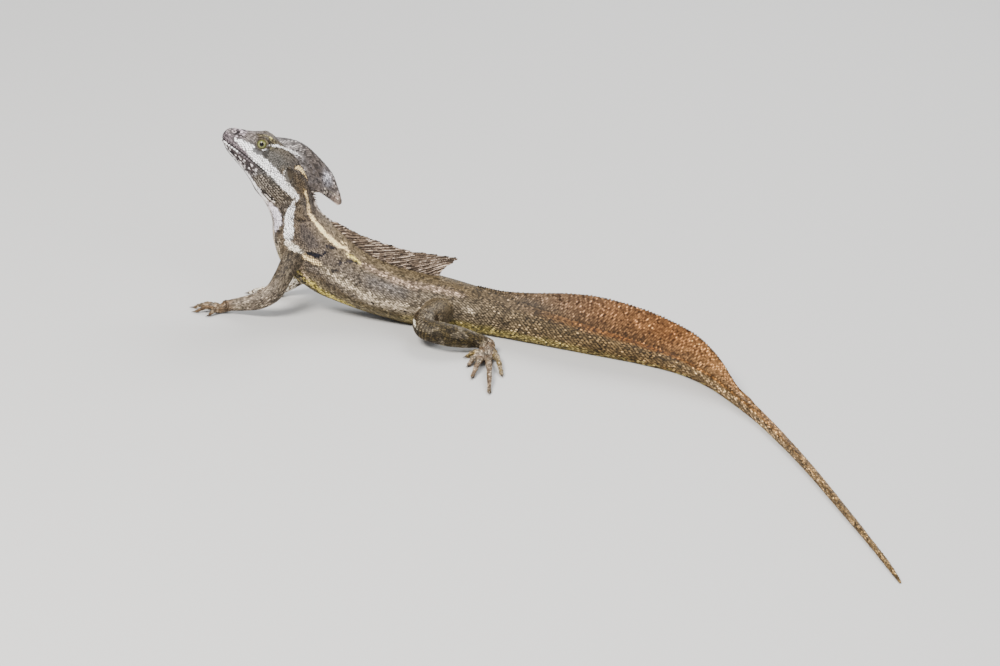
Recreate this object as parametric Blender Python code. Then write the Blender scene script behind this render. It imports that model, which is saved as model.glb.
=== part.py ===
# Common basilisk, adult male, life size: the head raised on straight forelegs, hips and tail
# resting on the floor.
# The snout points to -X, the animal's left side faces -Y, and the floor is at z = 0.
import math

import bmesh
import bpy
import numpy as np
from mathutils import Vector

MM = 0.001
GAP = 0.3  # mm between pieces that meet
UP = np.array([0.0, 0.0, 1.0])

# The body is laid out in millimetres from the vent; this moves its box's centre to the origin.
PLACE_X = -21.2
PLACE_Y = 112.6

# Trunk stations from snout to tail tip: x, y, z of the centre line, half width, height above and depth
# below it, and how much narrower the back is than the belly.
TRUNK = (
    (-192.6, 0.0, 108.3, 0.9, 1.4, 0.9, 0.0),
    (-192.1, 0.0, 108.1, 2.4, 3.5, 2.5, 0.0),
    (-191.2, 0.0, 107.7, 3.6, 4.9, 3.8, 0.0),
    (-189.4, 0.0, 107.0, 5.0, 6.2, 5.1, 0.02),
    (-184.8, 0.0, 104.8, 7.0, 8.9, 8.0, 0.05),
    (-178.8, 0.0, 101.9, 9.0, 11.6, 10.1, 0.10),
    (-172.6, 0.0, 98.8, 11.0, 14.6, 11.9, 0.15),
    (-165.5, 0.0, 94.9, 12.9, 16.6, 14.4, 0.20),
    (-157.3, 0.0, 89.2, 13.9, 17.6, 17.5, 0.24),
    (-150.0, 0.0, 81.5, 13.4, 16.2, 17.5, 0.20),
    (-145.3, 0.0, 72.0, 12.0, 14.5, 16.0, 0.14),
    (-141.8, 0.0, 62.8, 12.2, 14.2, 15.0, 0.12),
    (-136.8, 0.0, 53.5, 14.0, 17.0, 19.3, 0.16),
    (-128.8, 0.0, 43.8, 16.6, 19.5, 23.2, 0.20),
    (-115.5, 0.0, 33.0, 18.2, 19.8, 21.5, 0.22),
    (-97.0, 0.0, 24.8, 18.2, 18.0, 18.5, 0.22),
    (-77.5, 0.0, 20.0, 17.4, 17.0, 17.5, 0.22),
    (-59.0, 0.0, 17.4, 15.8, 17.0, 17.8, 0.22),
    (-42.0, -0.3, 16.2, 13.8, 16.8, 16.8, 0.22),
    (-20.0, -1.2, 14.8, 11.4, 15.2, 15.4, 0.24),
    (2.0, -3.5, 13.4, 9.6, 13.8, 14.0, 0.26),
    (25.0, -7.0, 12.1, 8.3, 12.4, 12.7, 0.28),
    (60.0, -12.5, 9.9, 6.8, 10.2, 10.5, 0.26),
    (93.0, -18.0, 7.7, 5.6, 8.0, 8.3, 0.20),
    (119.0, -27.0, 6.1, 4.9, 6.3, 6.6, 0.12),
    (137.0, -42.0, 5.1, 4.4, 5.3, 5.6, 0.06),
    (151.5, -63.0, 4.4, 4.1, 4.6, 4.9, 0.0),
    (165.0, -86.0, 3.5, 3.5, 3.7, 4.1, 0.0),
    (179.0, -117.0, 3.0, 3.0, 3.1, 3.5, 0.0),
    (192.5, -151.0, 2.6, 2.6, 2.7, 3.1, 0.0),
    (212.0, -208.0, 2.1, 2.1, 2.2, 2.6, 0.0),
    (227.5, -255.0, 1.6, 1.6, 1.7, 2.1, 0.0),
    (237.0, -286.0, 1.2, 1.3, 1.4, 1.7, 0.0),
    (241.0, -300.0, 0.7, 0.8, 0.9, 1.2, 0.0),
)
ROUNDNESS = 2.2  # exponent of the trunk's cross-section, 2 being an ellipse

# Where the trunk is parted, as x of the station nearest the cut.
NECK_FRONT_X = -145.3
NECK_REAR_X = -132.5
VENT_X = -20.0
TAIL_CUTS_X = (60.0, 119.0, 151.5, 192.5, 227.5)

# Head features, as distances forward of and above the head's origin in axes tilted up by this angle.
HEAD_TILT = math.radians(38)
HEAD_ORIGIN = np.array([-165.1, 0.0, 108.7])
EYE_SIDE = 6.5
EYE_DROP = 1.6  # how far the eyes lie below the head's origin
EYE_RADIUS = 3.9
LID_THICK = 0.8
BROW_RISE = 2.3
LID_OPENING = (3.0, 2.8)  # half length and half height
NOSTRIL = (17.9, -9.8)
NOSTRIL_RADIUS = 0.95
EAR = (-25.4, -3.1)
EAR_SIZE = (2.2, 4.0)
EAR_DEPTH = 1.0
MOUTH_FRONT = (20.5, -18.8)
MOUTH_CORNER = (-13.0, -11.4)
MOUTH_ARCH = 0.9
MOUTH_SLIT = 0.5
MOUTH_DEPTH = 0.9

# The head crest's outline in side view, x and z, from its front along the rim to the nape.
CREST_RIM = (
    (-163.5, 111.0),
    (-157.0, 111.2),
    (-149.6, 111.0),
    (-143.5, 110.0),
    (-137.4, 107.3),
    (-131.4, 102.8),
    (-125.6, 97.6),
    (-119.9, 91.3),
    (-115.9, 83.4),
    (-112.9, 76.1),
    (-112.3, 73.0),
    (-113.8, 71.9),
    (-116.2, 73.9),
    (-118.5, 77.2),
    (-120.4, 79.5),
    (-123.0, 79.4),
    (-127.0, 78.5),
    (-132.5, 77.8),
)
CREST_ROOT = ((-163.0, 106.5), (-154.0, 103.0), (-146.5, 97.0), (-141.5, 89.0), (-139.0, 80.0))
CREST_HALF_THICK = (4.6, 0.75)  # at the root and at the rim

# Body sail and tail sail: rays sweep back from the midline of the trunk.
BODY_SAIL_X = (-131.6, -46.5)
BODY_RAY_LENGTHS = (3.0, 6.5, 11.5, 17.0, 24.0, 31.5, 35.0, 36.0, 30.0, 16.0, 1.5)
BODY_RAY_ANGLES = (60.0, 44.0, 31.0, 27.0, 28.0, 34.0)
BODY_RAYS = 14
TAIL_SAIL_X = (-20.0, 46.0, 104.0, 151.5)
TAIL_SAIL_HEIGHTS = (0.8, 2.2, 6.6, 12.6, 17.0, 18.8, 19.0, 18.5, 17.0, 15.0, 11.5, 7.0, 2.5)
TAIL_RAY_ANGLE = 62.0
TAIL_RAYS = (11, 9, 8)  # front, middle and rear pieces
SAIL_HALF_THICK = (0.75, 0.32)  # membrane at the root and at the rim
RAY_RISE = 0.5
SAIL_SINK = 3.0

NAPE_SPINES = 11
NAPE_SPINE_HEIGHT = 2.3

# Legs: stations of shoulder or hip to wrist or ankle, as x, y, z, half width, height and depth.
FORELEG_LEFT = (
    (-131.0, -7.0, 42.0, 6.8, 7.2, 7.2),
    (-138.5, -17.0, 36.0, 6.2, 6.6, 6.6),
    (-142.5, -24.0, 26.5, 5.6, 6.0, 6.0),
    (-147.2, -29.2, 17.0, 5.6, 6.0, 6.0),
    (-155.0, -31.0, 11.2, 5.6, 5.6, 5.6),
    (-165.0, -31.0, 7.4, 4.7, 4.5, 4.5),
    (-174.5, -31.0, 4.8, 3.6, 3.4, 3.4),
)
FORELEG_RIGHT = (
    (-131.0, 7.0, 42.0, 6.6, 7.0, 7.0),
    (-127.5, 15.5, 36.0, 6.0, 6.4, 6.4),
    (-123.5, 22.0, 29.0, 5.3, 5.7, 5.7),
    (-124.5, 23.0, 21.5, 5.2, 5.5, 5.5),
    (-131.0, 20.5, 15.5, 5.2, 5.2, 5.2),
    (-138.5, 16.0, 9.2, 4.3, 4.1, 4.1),
    (-145.0, 12.0, 4.8, 3.4, 3.2, 3.2),
)
HINDLEG_LEFT = (
    (-38.0, -4.0, 14.5, 8.4, 8.6, 8.6),
    (-41.5, -14.0, 14.0, 9.0, 8.8, 9.0),
    (-45.0, -26.0, 13.8, 9.2, 8.8, 9.2),
    (-48.5, -36.0, 13.4, 7.8, 7.8, 8.0),
    (-47.0, -43.5, 12.4, 6.6, 6.8, 6.8),
    (-38.5, -45.5, 11.6, 7.0, 7.4, 6.9),
    (-25.5, -42.5, 9.4, 6.4, 7.0, 6.4),
    (-13.5, -37.0, 6.8, 4.6, 4.7, 4.5),
    (-6.5, -33.5, 5.0, 3.7, 3.5, 3.5),
)
HINDLEG_RIGHT = (
    (-38.0, 4.0, 14.5, 8.4, 8.6, 8.6),
    (-41.5, 13.0, 15.0, 9.0, 9.2, 9.2),
    (-47.5, 22.0, 15.2, 8.6, 9.0, 9.0),
    (-54.0, 29.5, 14.0, 6.8, 7.2, 7.2),
    (-56.0, 37.5, 12.0, 5.8, 5.8, 5.8),
    (-48.0, 42.0, 10.4, 5.9, 5.7, 5.7),
    (-34.0, 39.5, 8.2, 5.5, 5.2, 5.2),
    (-20.0, 35.0, 6.2, 4.2, 3.9, 3.9),
    (-10.5, 32.0, 4.9, 3.6, 3.4, 3.4),
)
ELBOW_SHARE = 0.50
SHOULDER_SPAN_X = (-150.0, -100.0)  # stretch of trunk that the upper arm is cut clear of
HIP_SPAN_X = (-90.0, 20.0)
JOINT_BLOCK = 9.0  # depth and half width of the blocks that part a limb at its bend
KNEE_SHARE = 0.44

# Feet: palm length, then each digit's root along the palm and to its side, its length, heading and arch.
# Headings are degrees from the foot's own direction, positive to the foot's first digit.
HAND = {
    "palm": 8.6,
    "half_width": 4.9,
    "height": 3.4,
    "radius": (1.7, 1.05),
    "digits": (
        (5.0, 3.4, 7.5, 52.0, 1.0),
        (7.4, 2.8, 10.5, 27.0, 1.8),
        (8.0, 0.9, 13.5, 7.0, 2.2),
        (7.6, -1.5, 13.5, -13.0, 2.2),
        (5.8, -3.2, 9.5, -42.0, 1.5),
    ),
}
FOOT = {
    "palm": 21.0,
    "half_width": 5.6,
    "height": 3.8,
    "radius": (2.25, 1.25),
    "digits": (
        (12.5, 4.0, 10.5, 52.0, 1.6),
        (16.0, 3.9, 18.5, 21.0, 2.0),
        (18.5, 2.2, 34.0, 8.0, 2.6),
        (19.0, -1.2, 54.0, -4.0, 2.8),
        (7.5, -4.0, 35.0, -12.0, 2.2),
    ),
}
LEFT_HAND_HEADING = 192.0  # degrees from +X, turning towards +Y
RIGHT_HAND_HEADING = 208.0
LEFT_FOOT_HEADING = 270.0
RIGHT_FOOT_HEADING = 38.0
CLAW_LENGTH = 3.4
CLAW_RADIUS = (0.85, 0.22)

SKIN_BROWN = (0.21, 0.17, 0.13)
CREST_GREY = (0.24, 0.21, 0.20)
SAIL_BROWN = (0.30, 0.22, 0.17)
TAIL_RUST = (0.40, 0.23, 0.13)
WHIP_TAN = (0.42, 0.27, 0.14)
EYE_GREEN = (0.50, 0.52, 0.16)


# Curves

def hermite(knots, values, t):
    """Smooth curve through values at knots, read at t."""
    values = np.asarray(values, float)
    steps = np.diff(knots)
    slopes = np.diff(values, axis=0) / steps[:, None]
    tangents = np.empty_like(values)
    tangents[0], tangents[-1] = slopes[0], slopes[-1]
    share = (steps[:-1] / (steps[:-1] + steps[1:]))[:, None]
    tangents[1:-1] = slopes[:-1] * (1 - share) + slopes[1:] * share
    t = np.clip(np.atleast_1d(t), knots[0], knots[-1])
    k = np.clip(np.searchsorted(knots, t, side="right") - 1, 0, len(knots) - 2)
    h = steps[k][:, None]
    u = ((t - knots[k])[:, None]) / h
    return (
        values[k] * (2 * u**3 - 3 * u**2 + 1)
        + tangents[k] * h * (u**3 - 2 * u**2 + u)
        + values[k + 1] * (3 * u**2 - 2 * u**3)
        + tangents[k + 1] * h * (u**3 - u**2)
    )


def through(points, n):
    """n points spread along a smooth curve through these points."""
    points = np.asarray(points, float)
    knots = np.r_[0, np.cumsum(np.linalg.norm(np.diff(points, axis=0), axis=1))]
    return hermite(knots, points, np.linspace(0, knots[-1], n))


def unit(v):
    return v / np.linalg.norm(v, axis=-1, keepdims=True)


class Tube:
    """A round-sectioned body along a smooth line, with a back and a belly."""

    def __init__(self, stations, roundness=2.0):
        rows = np.asarray(stations, float)
        if rows.shape[1] == 6:
            rows = np.c_[rows, np.zeros(len(rows))]
        self.rows = rows
        self.roundness = roundness
        self.knots = np.r_[0, np.cumsum(np.linalg.norm(np.diff(rows[:, :3], axis=0), axis=1))]
        self.length = self.knots[-1]

    def at_x(self, x):
        """How far along the line its station list reaches this x."""
        return float(np.interp(x, self.rows[:, 0], self.knots))

    def frame(self, t):
        """Centre, tangent, dorsal and left directions at t."""
        t = np.atleast_1d(t)
        centre = hermite(self.knots, self.rows[:, :3], t)
        ahead = hermite(self.knots, self.rows[:, :3], t + 0.4)
        behind = hermite(self.knots, self.rows[:, :3], t - 0.4)
        tangent = unit(ahead - behind)
        left = unit(np.cross(tangent, UP))
        return centre, tangent, np.cross(left, tangent), left

    def sizes(self, t):
        return hermite(self.knots, self.rows[:, 3:], np.atleast_1d(t))

    def back(self, t, rise=0.0):
        """Points on the dorsal midline, raised or sunk."""
        centre, _, dorsal, _ = self.frame(t)
        return centre + dorsal * (self.sizes(t)[:, 1:2] + rise)

    def rings(self, t, sides, grow=0.0):
        """One ring of points for each t, as an array of rings, sides, 3."""
        centre, _, dorsal, left = self.frame(t)
        width, above, below, taper = (self.sizes(t)[:, i : i + 1] for i in range(4))
        angle = np.arange(sides)[None, :] * 2 * math.pi / sides
        c, s = np.cos(angle), np.sin(angle)
        power = 2 / self.roundness
        across = np.sign(s) * np.abs(s) ** power * (width + grow) * (1 - taper * c)
        upward = np.sign(c) * np.abs(c) ** power * np.where(c > 0, above + grow, below + grow)
        return centre[:, None] + dorsal[:, None] * upward[..., None] + left[:, None] * across[..., None]


# Meshes

def clear_scene():
    for obj in list(bpy.data.objects):
        bpy.data.objects.remove(obj, do_unlink=True)


def material(name, colour, roughness=0.7):
    made = bpy.data.materials.get(name) or bpy.data.materials.new(name)
    made.use_nodes = True
    shader = made.node_tree.nodes["Principled BSDF"]
    shader.inputs["Base Color"].default_value = (*colour, 1)
    shader.inputs["Roughness"].default_value = roughness
    return made


def body(name, points, faces):
    """A mesh object from points in millimetres, with its faces turned outwards."""
    mesh = bpy.data.meshes.new(name)
    mesh.from_pydata((np.asarray(points) * MM).tolist(), [], [list(map(int, f)) for f in faces])
    work = bmesh.new()
    work.from_mesh(mesh)
    bmesh.ops.recalc_face_normals(work, faces=work.faces)
    work.to_mesh(mesh)
    work.free()
    obj = bpy.data.objects.new(name, mesh)
    bpy.context.scene.collection.objects.link(obj)
    return obj


def loft(name, rings):
    """A closed body through rings, with flat ends."""
    count, sides = rings.shape[:2]
    index = np.arange(count * sides).reshape(count, sides)
    here, there = index[:-1], index[1:]
    quads = np.stack(
        [here, there, np.roll(there, -1, axis=1), np.roll(here, -1, axis=1)], axis=-1
    ).reshape(-1, 4)
    faces = [*quads.tolist(), index[0].tolist(), index[-1].tolist()]
    return body(name, rings.reshape(-1, 3), faces)


def sheet(name, middle, half, side):
    """A closed thin body round a middle surface (rows, columns, 3), with triangles alike on both faces."""
    rows, columns = middle.shape[:2]
    index = np.arange(rows * columns).reshape(rows, columns)
    a, b, c, d = index[:-1, :-1], index[1:, :-1], index[1:, 1:], index[:-1, 1:]
    front = np.concatenate([np.stack([a, b, c], -1).reshape(-1, 3), np.stack([a, c, d], -1).reshape(-1, 3)])
    total = rows * columns
    edge = np.concatenate([index[:-1, 0], index[-1, :-1], index[:0:-1, -1], index[0, :0:-1]])
    after = np.roll(edge, -1)
    halves = ((edge, after, after + total), (edge, after + total, edge + total))
    rim = np.concatenate([np.stack(corners, -1) for corners in halves])
    faces = np.concatenate([front, front[:, ::-1] + total, rim])
    offset = side * half[..., None]
    points = np.concatenate([(middle + offset).reshape(-1, 3), (middle - offset).reshape(-1, 3)])
    return body(name, points, faces)


def ball(name, centre, radii, segments=20, rows=12):
    work = bmesh.new()
    bmesh.ops.create_uvsphere(work, u_segments=segments, v_segments=rows, radius=1.0)
    points = np.array([v.co for v in work.verts]) * np.asarray(radii) + np.asarray(centre)
    faces = [[v.index for v in f.verts] for f in work.faces]
    work.free()
    return body(name, points, faces)


def settle(obj):
    """Makes the object's modifiers part of its mesh."""
    bpy.context.view_layer.update()
    graph = bpy.context.evaluated_depsgraph_get()
    made = bpy.data.meshes.new_from_object(obj.evaluated_get(graph))
    old = obj.data
    obj.modifiers.clear()
    obj.data = made
    bpy.data.meshes.remove(old)


def boolean(obj, others, operation, solver="EXACT"):
    """Joins or cuts obj by other closed bodies, which are used up, and keeps the largest surface."""
    group = bpy.data.collections.new(obj.name + "_tools")
    bpy.context.scene.collection.children.link(group)
    for other in others:
        group.objects.link(other)
    modifier = obj.modifiers.new(operation.title(), "BOOLEAN")
    modifier.operation = operation
    modifier.operand_type = "COLLECTION"
    modifier.collection = group
    modifier.solver = solver
    settle(obj)
    for other in others:
        bpy.data.objects.remove(other, do_unlink=True)
    bpy.data.collections.remove(group)
    keep_largest(obj)
    return obj


def keep_largest(obj):
    work = bmesh.new()
    work.from_mesh(obj.data)
    bmesh.ops.remove_doubles(work, verts=work.verts, dist=0.002 * MM)
    bmesh.ops.triangulate(work, faces=work.faces)
    left = set(work.faces)
    shells = []
    while left:
        shell, front = set(), [left.pop()]
        while front:
            face = front.pop()
            shell.add(face)
            near = {f for e in face.edges for f in e.link_faces} & left
            left -= near
            front.extend(near)
        volume = sum(f.verts[0].co.dot(f.verts[1].co.cross(f.verts[2].co)) for f in shell) / 6
        shells.append((volume, shell))
    shells.sort(key=lambda pair: pair[0])
    scraps = [f for _, shell in shells[:-1] for f in shell]
    bmesh.ops.delete(work, geom=scraps, context="FACES")
    work.to_mesh(obj.data)
    work.free()


def floor_slab():
    """A block whose top is the floor."""
    corners = [(x, y, z) for x in (-400, 400) for y in (-500, 300) for z in (-20, 0)]
    faces = [(0, 1, 3, 2), (4, 6, 7, 5), (0, 4, 5, 1), (2, 3, 7, 6), (0, 2, 6, 4), (1, 5, 7, 3)]
    return body("floor_slab", corners, faces)


def finish(obj, colour_name, colour, root, smooth=True):
    """Gives a node its material, its shading and its place under the root empty."""
    obj.data.materials.clear()
    obj.data.materials.append(material(colour_name, colour))
    if smooth:
        obj.data.shade_smooth()
        obj.data.set_sharp_from_angle(angle=math.radians(50))
    obj.parent = root
    return obj


# Trunk and head

def trunk_piece(trunk, name, start, end, sides, step, grow=0.0):
    count = max(2, int(round((end - start) / step)) + 1)
    return loft(name, trunk.rings(np.linspace(start, end, count), sides, grow))


def head_axes():
    """Directions forward, up and left of the head."""
    forward = np.array([-math.cos(HEAD_TILT), 0.0, math.sin(HEAD_TILT)])
    upward = np.array([math.sin(HEAD_TILT), 0.0, math.cos(HEAD_TILT)])
    return forward, upward, np.array([0.0, -1.0, 0.0])


def head_point(forward_by, up_by, left_by):
    forward, upward, left = head_axes()
    return HEAD_ORIGIN + forward * forward_by + upward * up_by + left * left_by


def eye_centre(side):
    return head_point(0.0, -EYE_DROP, side * EYE_SIDE)


def bump(a, b, centre, spread):
    return np.exp(-(((a - centre[0]) / spread[0]) ** 2) - (((b - centre[1]) / spread[1]) ** 2))


def mouth_height(f):
    """Height of the mouth line in the head's axes, at a distance forward of its origin."""
    share = (f - MOUTH_CORNER[0]) / (MOUTH_FRONT[0] - MOUTH_CORNER[0])
    line = MOUTH_CORNER[1] + share * (MOUTH_FRONT[1] - MOUTH_CORNER[1])
    return line + MOUTH_ARCH * np.sin(math.pi * np.clip(share, 0, 1))


def shape_head(points):
    """Moves the plain head loft's points out and in, to brows, lids, cheeks, lips and jaw."""
    forward, upward, _ = head_axes()
    offset = points - HEAD_ORIGIN
    f, u = offset @ forward, offset @ upward
    y = np.abs(points[..., 1])
    sideways = np.clip(y / 8.0, 0, 1)
    out = 1.3 * bump(f, u, (3.5, 4.4), (6.0, 2.0)) * sideways
    out -= 1.1 * bump(f, u, (10.0, -5.0), (4.0, 3.0)) * sideways
    out -= 0.9 * bump(f, u, (-11.5, 0.5), (5.0, 4.5)) * sideways
    out += 1.2 * bump(f, u, (-21.0, -10.0), (7.0, 5.0)) * sideways
    out += 0.6 * bump(f, u, NOSTRIL, (2.6, 2.2)) * sideways
    on_mouth = 1 / (1 + np.exp(-(f - MOUTH_CORNER[0]) / 1.2))
    for lip in (-1.3, 1.4):
        out += 0.4 * np.exp(-(((u - mouth_height(f) - lip) / 1.0) ** 2)) * on_mouth
    moved = points.copy()
    brow = np.exp(-(((f - 2.0) / 6.0) ** 2) - (((y - 4.0) / 4.0) ** 2)) / (1 + np.exp(-(u + 5.0)))
    brow = brow * BROW_RISE
    moved[..., 1] += np.sign(points[..., 1]) * out * 0.85
    moved += upward * (out * 0.4 * (u > 2.0) + brow)[..., None]
    for side in (-1, 1):
        eye = eye_centre(side)
        away = moved - eye
        distance = np.linalg.norm(away, axis=-1, keepdims=True)
        shell = EYE_RADIUS + LID_THICK
        near = np.clip((shell + 1.2 - distance) / 1.2, 0, 1) * (moved[..., 1:2] * -side > 2.5)
        moved += away / np.maximum(distance, 0.01) * (shell - distance + 0.15) * near * (distance < shell)
    return moved


def eye_opening(side):
    """A cutter along the eye's own line of sight, almond in outline."""
    forward, upward, left = head_axes()
    look = unit(left * side + forward * 0.25 + upward * 0.05)
    ahead = unit(forward - look * (forward @ look))
    above = np.cross(look, ahead)
    centre = eye_centre(side)
    angle = np.linspace(0, 2 * math.pi, 16, endpoint=False)[None, :, None]
    rings = []
    for depth, wider in ((1.0, 0.9), (EYE_RADIUS, 1.0), (EYE_RADIUS + 5, 1.35)):
        ring = ahead * np.cos(angle) * LID_OPENING[0] * wider
        ring = ring + above * np.sin(angle) * LID_OPENING[1] * wider
        rings.append(centre + look * depth + ring)
    return loft("eye_opening", np.concatenate(rings))


def mouth_cutter(trunk, neck_start):
    """A thin blade along the mouth line, only as deep as the lips."""
    forward, upward, left = head_axes()
    spots = np.linspace(MOUTH_CORNER[0], MOUTH_FRONT[0] + 6, 12)
    height = mouth_height(spots)
    rings = []
    for f, u in zip(spots, height):
        rings.append([
            head_point(f, u + v * MOUTH_SLIT / 2, w * 22)
            for w, v in ((-1, -1), (1, -1), (1, 1), (-1, 1))
        ])
    blade = loft("mouth_blade", np.array(rings))
    core = loft("mouth_core", shape_head(trunk.rings(np.linspace(0.2, neck_start, 30), 24)))
    middle = head_point(0.0, mouth_height(0.0), 0.0) * MM
    for vertex in core.data.vertices:
        offset = np.array(vertex.co) - middle
        offset[1] *= 1 - MOUTH_DEPTH / 10.0
        along = offset @ forward
        offset -= forward * along * (MOUTH_DEPTH / 22.0) * (along > 0)
        vertex.co = Vector(middle + offset)
    return boolean(blade, [core], "DIFFERENCE")


def build_head(trunk, cut_at):
    rings = shape_head(trunk.rings(np.r_[0, 0.5, 1.5, np.linspace(3.2, cut_at, 24)], 28))
    head = loft("head", rings)
    tools = []
    for side in (-1, 1):
        eye = eye_centre(side)
        tools.append(ball("socket", eye, [EYE_RADIUS + GAP] * 3, 18, 10))
        tools.append(eye_opening(side))
        nostril = head_point(NOSTRIL[0], NOSTRIL[1], side * 4.9)
        tools.append(ball("nostril", nostril, [NOSTRIL_RADIUS * 1.5, 1.6, NOSTRIL_RADIUS], 10, 6))
        ear = head_point(EAR[0], EAR[1], 0.0)
        surface = trunk_side(trunk, ear)
        ear[1] = -side * (surface + EAR_SIZE[0] - EAR_DEPTH)
        tools.append(ball("ear", ear, [EAR_SIZE[0], EAR_SIZE[0], EAR_SIZE[1]], 14, 8))
    tools.append(mouth_cutter(trunk, cut_at))
    for tool in tools:
        boolean(head, [tool], "DIFFERENCE")
    return head


def trunk_side(trunk, point):
    """How far out the trunk's side is at this point, level with it."""
    t = np.linspace(0, trunk.length, 1200)
    rings = shape_head(trunk.rings(t[t < trunk.at_x(-120)], 72)).reshape(-1, 3)
    near = np.hypot(rings[:, 0] - point[0], rings[:, 2] - point[2])
    close = rings[near < 0.8]
    return float(np.abs(close[:, 1]).max())


def nape_spine(trunk, t, height):
    """A flat backward-leaning scale on the nape's midline."""
    centre, tangent, dorsal, left = (part[0] for part in trunk.frame(t))
    foot = trunk.back(t, -0.8)[0]
    rings = []
    steps = ((0, 1.5, 0.8, 0), (0.8 + height * 0.5, 1.0, 0.5, 0.7), (0.8 + height, 0.25, 0.2, 1.6))
    for rise, length, thick, lean in steps:
        middle = foot + dorsal * rise + tangent * lean
        corners = ((-1, 0), (0, 1), (1, 0), (0, -1))
        rings.append([middle + tangent * a * length + left * b * thick for a, b in corners])
    return loft("nape_spine", np.array(rings))


def build_crest(trunk, cut_at):
    """The head crest: a sail that grows from the skull's midline and hangs over the nape."""
    columns, rows = 26, 6
    rim = through(CREST_RIM, columns)
    root = through(CREST_ROOT, columns)
    share = np.linspace(0, 1, rows)[None, :, None]
    flat = root[:, None] * (1 - share) + rim[:, None] * share
    middle = np.stack([flat[..., 0], np.zeros(flat.shape[:2]), flat[..., 1]], -1)
    across = (1 - share[..., 0]) ** 1.6
    half = CREST_HALF_THICK[0] * across + CREST_HALF_THICK[1] * (1 - across)
    ends = np.clip(np.minimum(np.arange(columns), np.arange(columns)[::-1]) / 5.0, 0.25, 1)[:, None]
    crest = sheet("head_crest", middle, half * ends, np.array([0.0, -1.0, 0.0]))
    t = np.linspace(3.2, cut_at + 8.0, 28)
    skull = loft("skull", shape_head(trunk.rings(t, 28, GAP + 0.1)))
    return boolean(crest, [skull], "DIFFERENCE")


# Sails

def sail(trunk, name, start, end, reach, angle, rays):
    """A rayed membrane between two places along the trunk; reach and angle are read at shares of it."""
    columns = rays * 3 + 1
    share = np.linspace(0, 1, columns)
    t = start + (end - start) * share
    _, tangent, dorsal, left = trunk.frame(t)
    foot = trunk.back(t)
    lean = np.radians(angle(share))[:, None]
    ray = tangent * np.cos(lean) + dorsal * np.sin(lean)
    climb = np.r_[0.0, np.linspace(0, 1, 3)][None, :]
    middle = foot[:, None] + ray[:, None] * (reach(share)[:, None] * climb)[..., None]
    middle[:, 0] -= dorsal * SAIL_SINK
    ridge = np.clip(np.cos(2 * math.pi * rays * share), 0, 1)[:, None]
    half = SAIL_HALF_THICK[0] + (SAIL_HALF_THICK[1] - SAIL_HALF_THICK[0]) * climb
    half = half + RAY_RISE * ridge * (1 - 0.65 * climb)
    return sheet(name, middle, half, left[:, None])


def spread(values):
    """A smooth function of a share from 0 to 1 through evenly spread values."""
    values = np.asarray(values, float)[:, None]
    knots = np.linspace(0, 1, len(values))
    return lambda share: hermite(knots, values, share)[:, 0]


def build_body_sail(trunk):
    start, end = trunk.at_x(BODY_SAIL_X[0]), trunk.at_x(BODY_SAIL_X[1])
    lengths, angles = spread(BODY_RAY_LENGTHS), spread(BODY_RAY_ANGLES)
    made = sail(trunk, "body_sail", start, end, lengths, angles, BODY_RAYS)
    under = trunk_piece(trunk, "under_sail", start - 12, end + 30, 40, 2.0, GAP)
    return boolean(made, [under], "DIFFERENCE")


def build_tail_sail(trunk):
    cuts = [trunk.at_x(x) for x in TAIL_SAIL_X]
    first, last = cuts[0], cuts[-1]
    whole = spread(TAIL_SAIL_HEIGHTS)
    steep = math.sin(math.radians(TAIL_RAY_ANGLE))
    made = []
    names = ("tail_sail_front", "tail_sail_middle", "tail_sail_rear")
    for name, rays, low, high in zip(names, TAIL_RAYS, cuts[:-1], cuts[1:]):
        start = low + GAP / 2 * (low > first)
        end = high - GAP / 2 * (high < last)

        def reach(share, start=start, end=end):
            t = start + (end - start) * share
            return whole((t - first) / (last - first)) / steep
        piece = sail(trunk, name, start, end, reach, lambda share: TAIL_RAY_ANGLE + 0 * share, rays)
        under = trunk_piece(trunk, "under_sail", start - 8, end + 12, 32, 3.0, GAP)
        made.append(boolean(piece, [under], "DIFFERENCE"))
    return made


# Legs and feet

def joint_block(leg, joint, toward):
    """A block on one side of the joint's plane, half a gap from it, to trim the inside of a bend."""
    centre, tangent, dorsal, left = (row[0] for row in leg.frame(joint))
    rings = []
    for depth in (-GAP / 2, JOINT_BLOCK):
        middle = centre + tangent * toward * depth
        corners = ((-1, -1), (1, -1), (1, 1), (-1, 1))
        rings.append([middle + (dorsal * a + left * b * toward) * JOINT_BLOCK for a, b in corners])
    return loft("joint_block", np.array(rings))


def leg_pieces(trunk, names, stations, joint_share, body_span):
    """Upper and lower leg parted at the elbow or knee; the upper one is cut clear of the trunk."""
    leg = Tube(stations, 2.1)
    joint = leg.length * joint_share
    upper = loft(names[0], leg.rings(np.linspace(0, joint + 1.0, 9), 14))
    lower = loft(names[1], leg.rings(np.linspace(joint - 1.0, leg.length - GAP, 9), 14))
    boolean(upper, [joint_block(leg, joint, 1)], "DIFFERENCE")
    boolean(lower, [joint_block(leg, joint, -1)], "DIFFERENCE")
    start, end = (trunk.at_x(x) for x in body_span)
    torso = trunk_piece(trunk, "torso_cutter", start, end, 40, 3.0, GAP)
    boolean(upper, [torso], "DIFFERENCE")
    boolean(upper, [floor_slab()], "DIFFERENCE")
    boolean(lower, [floor_slab()], "DIFFERENCE")
    return leg, upper, lower


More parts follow.
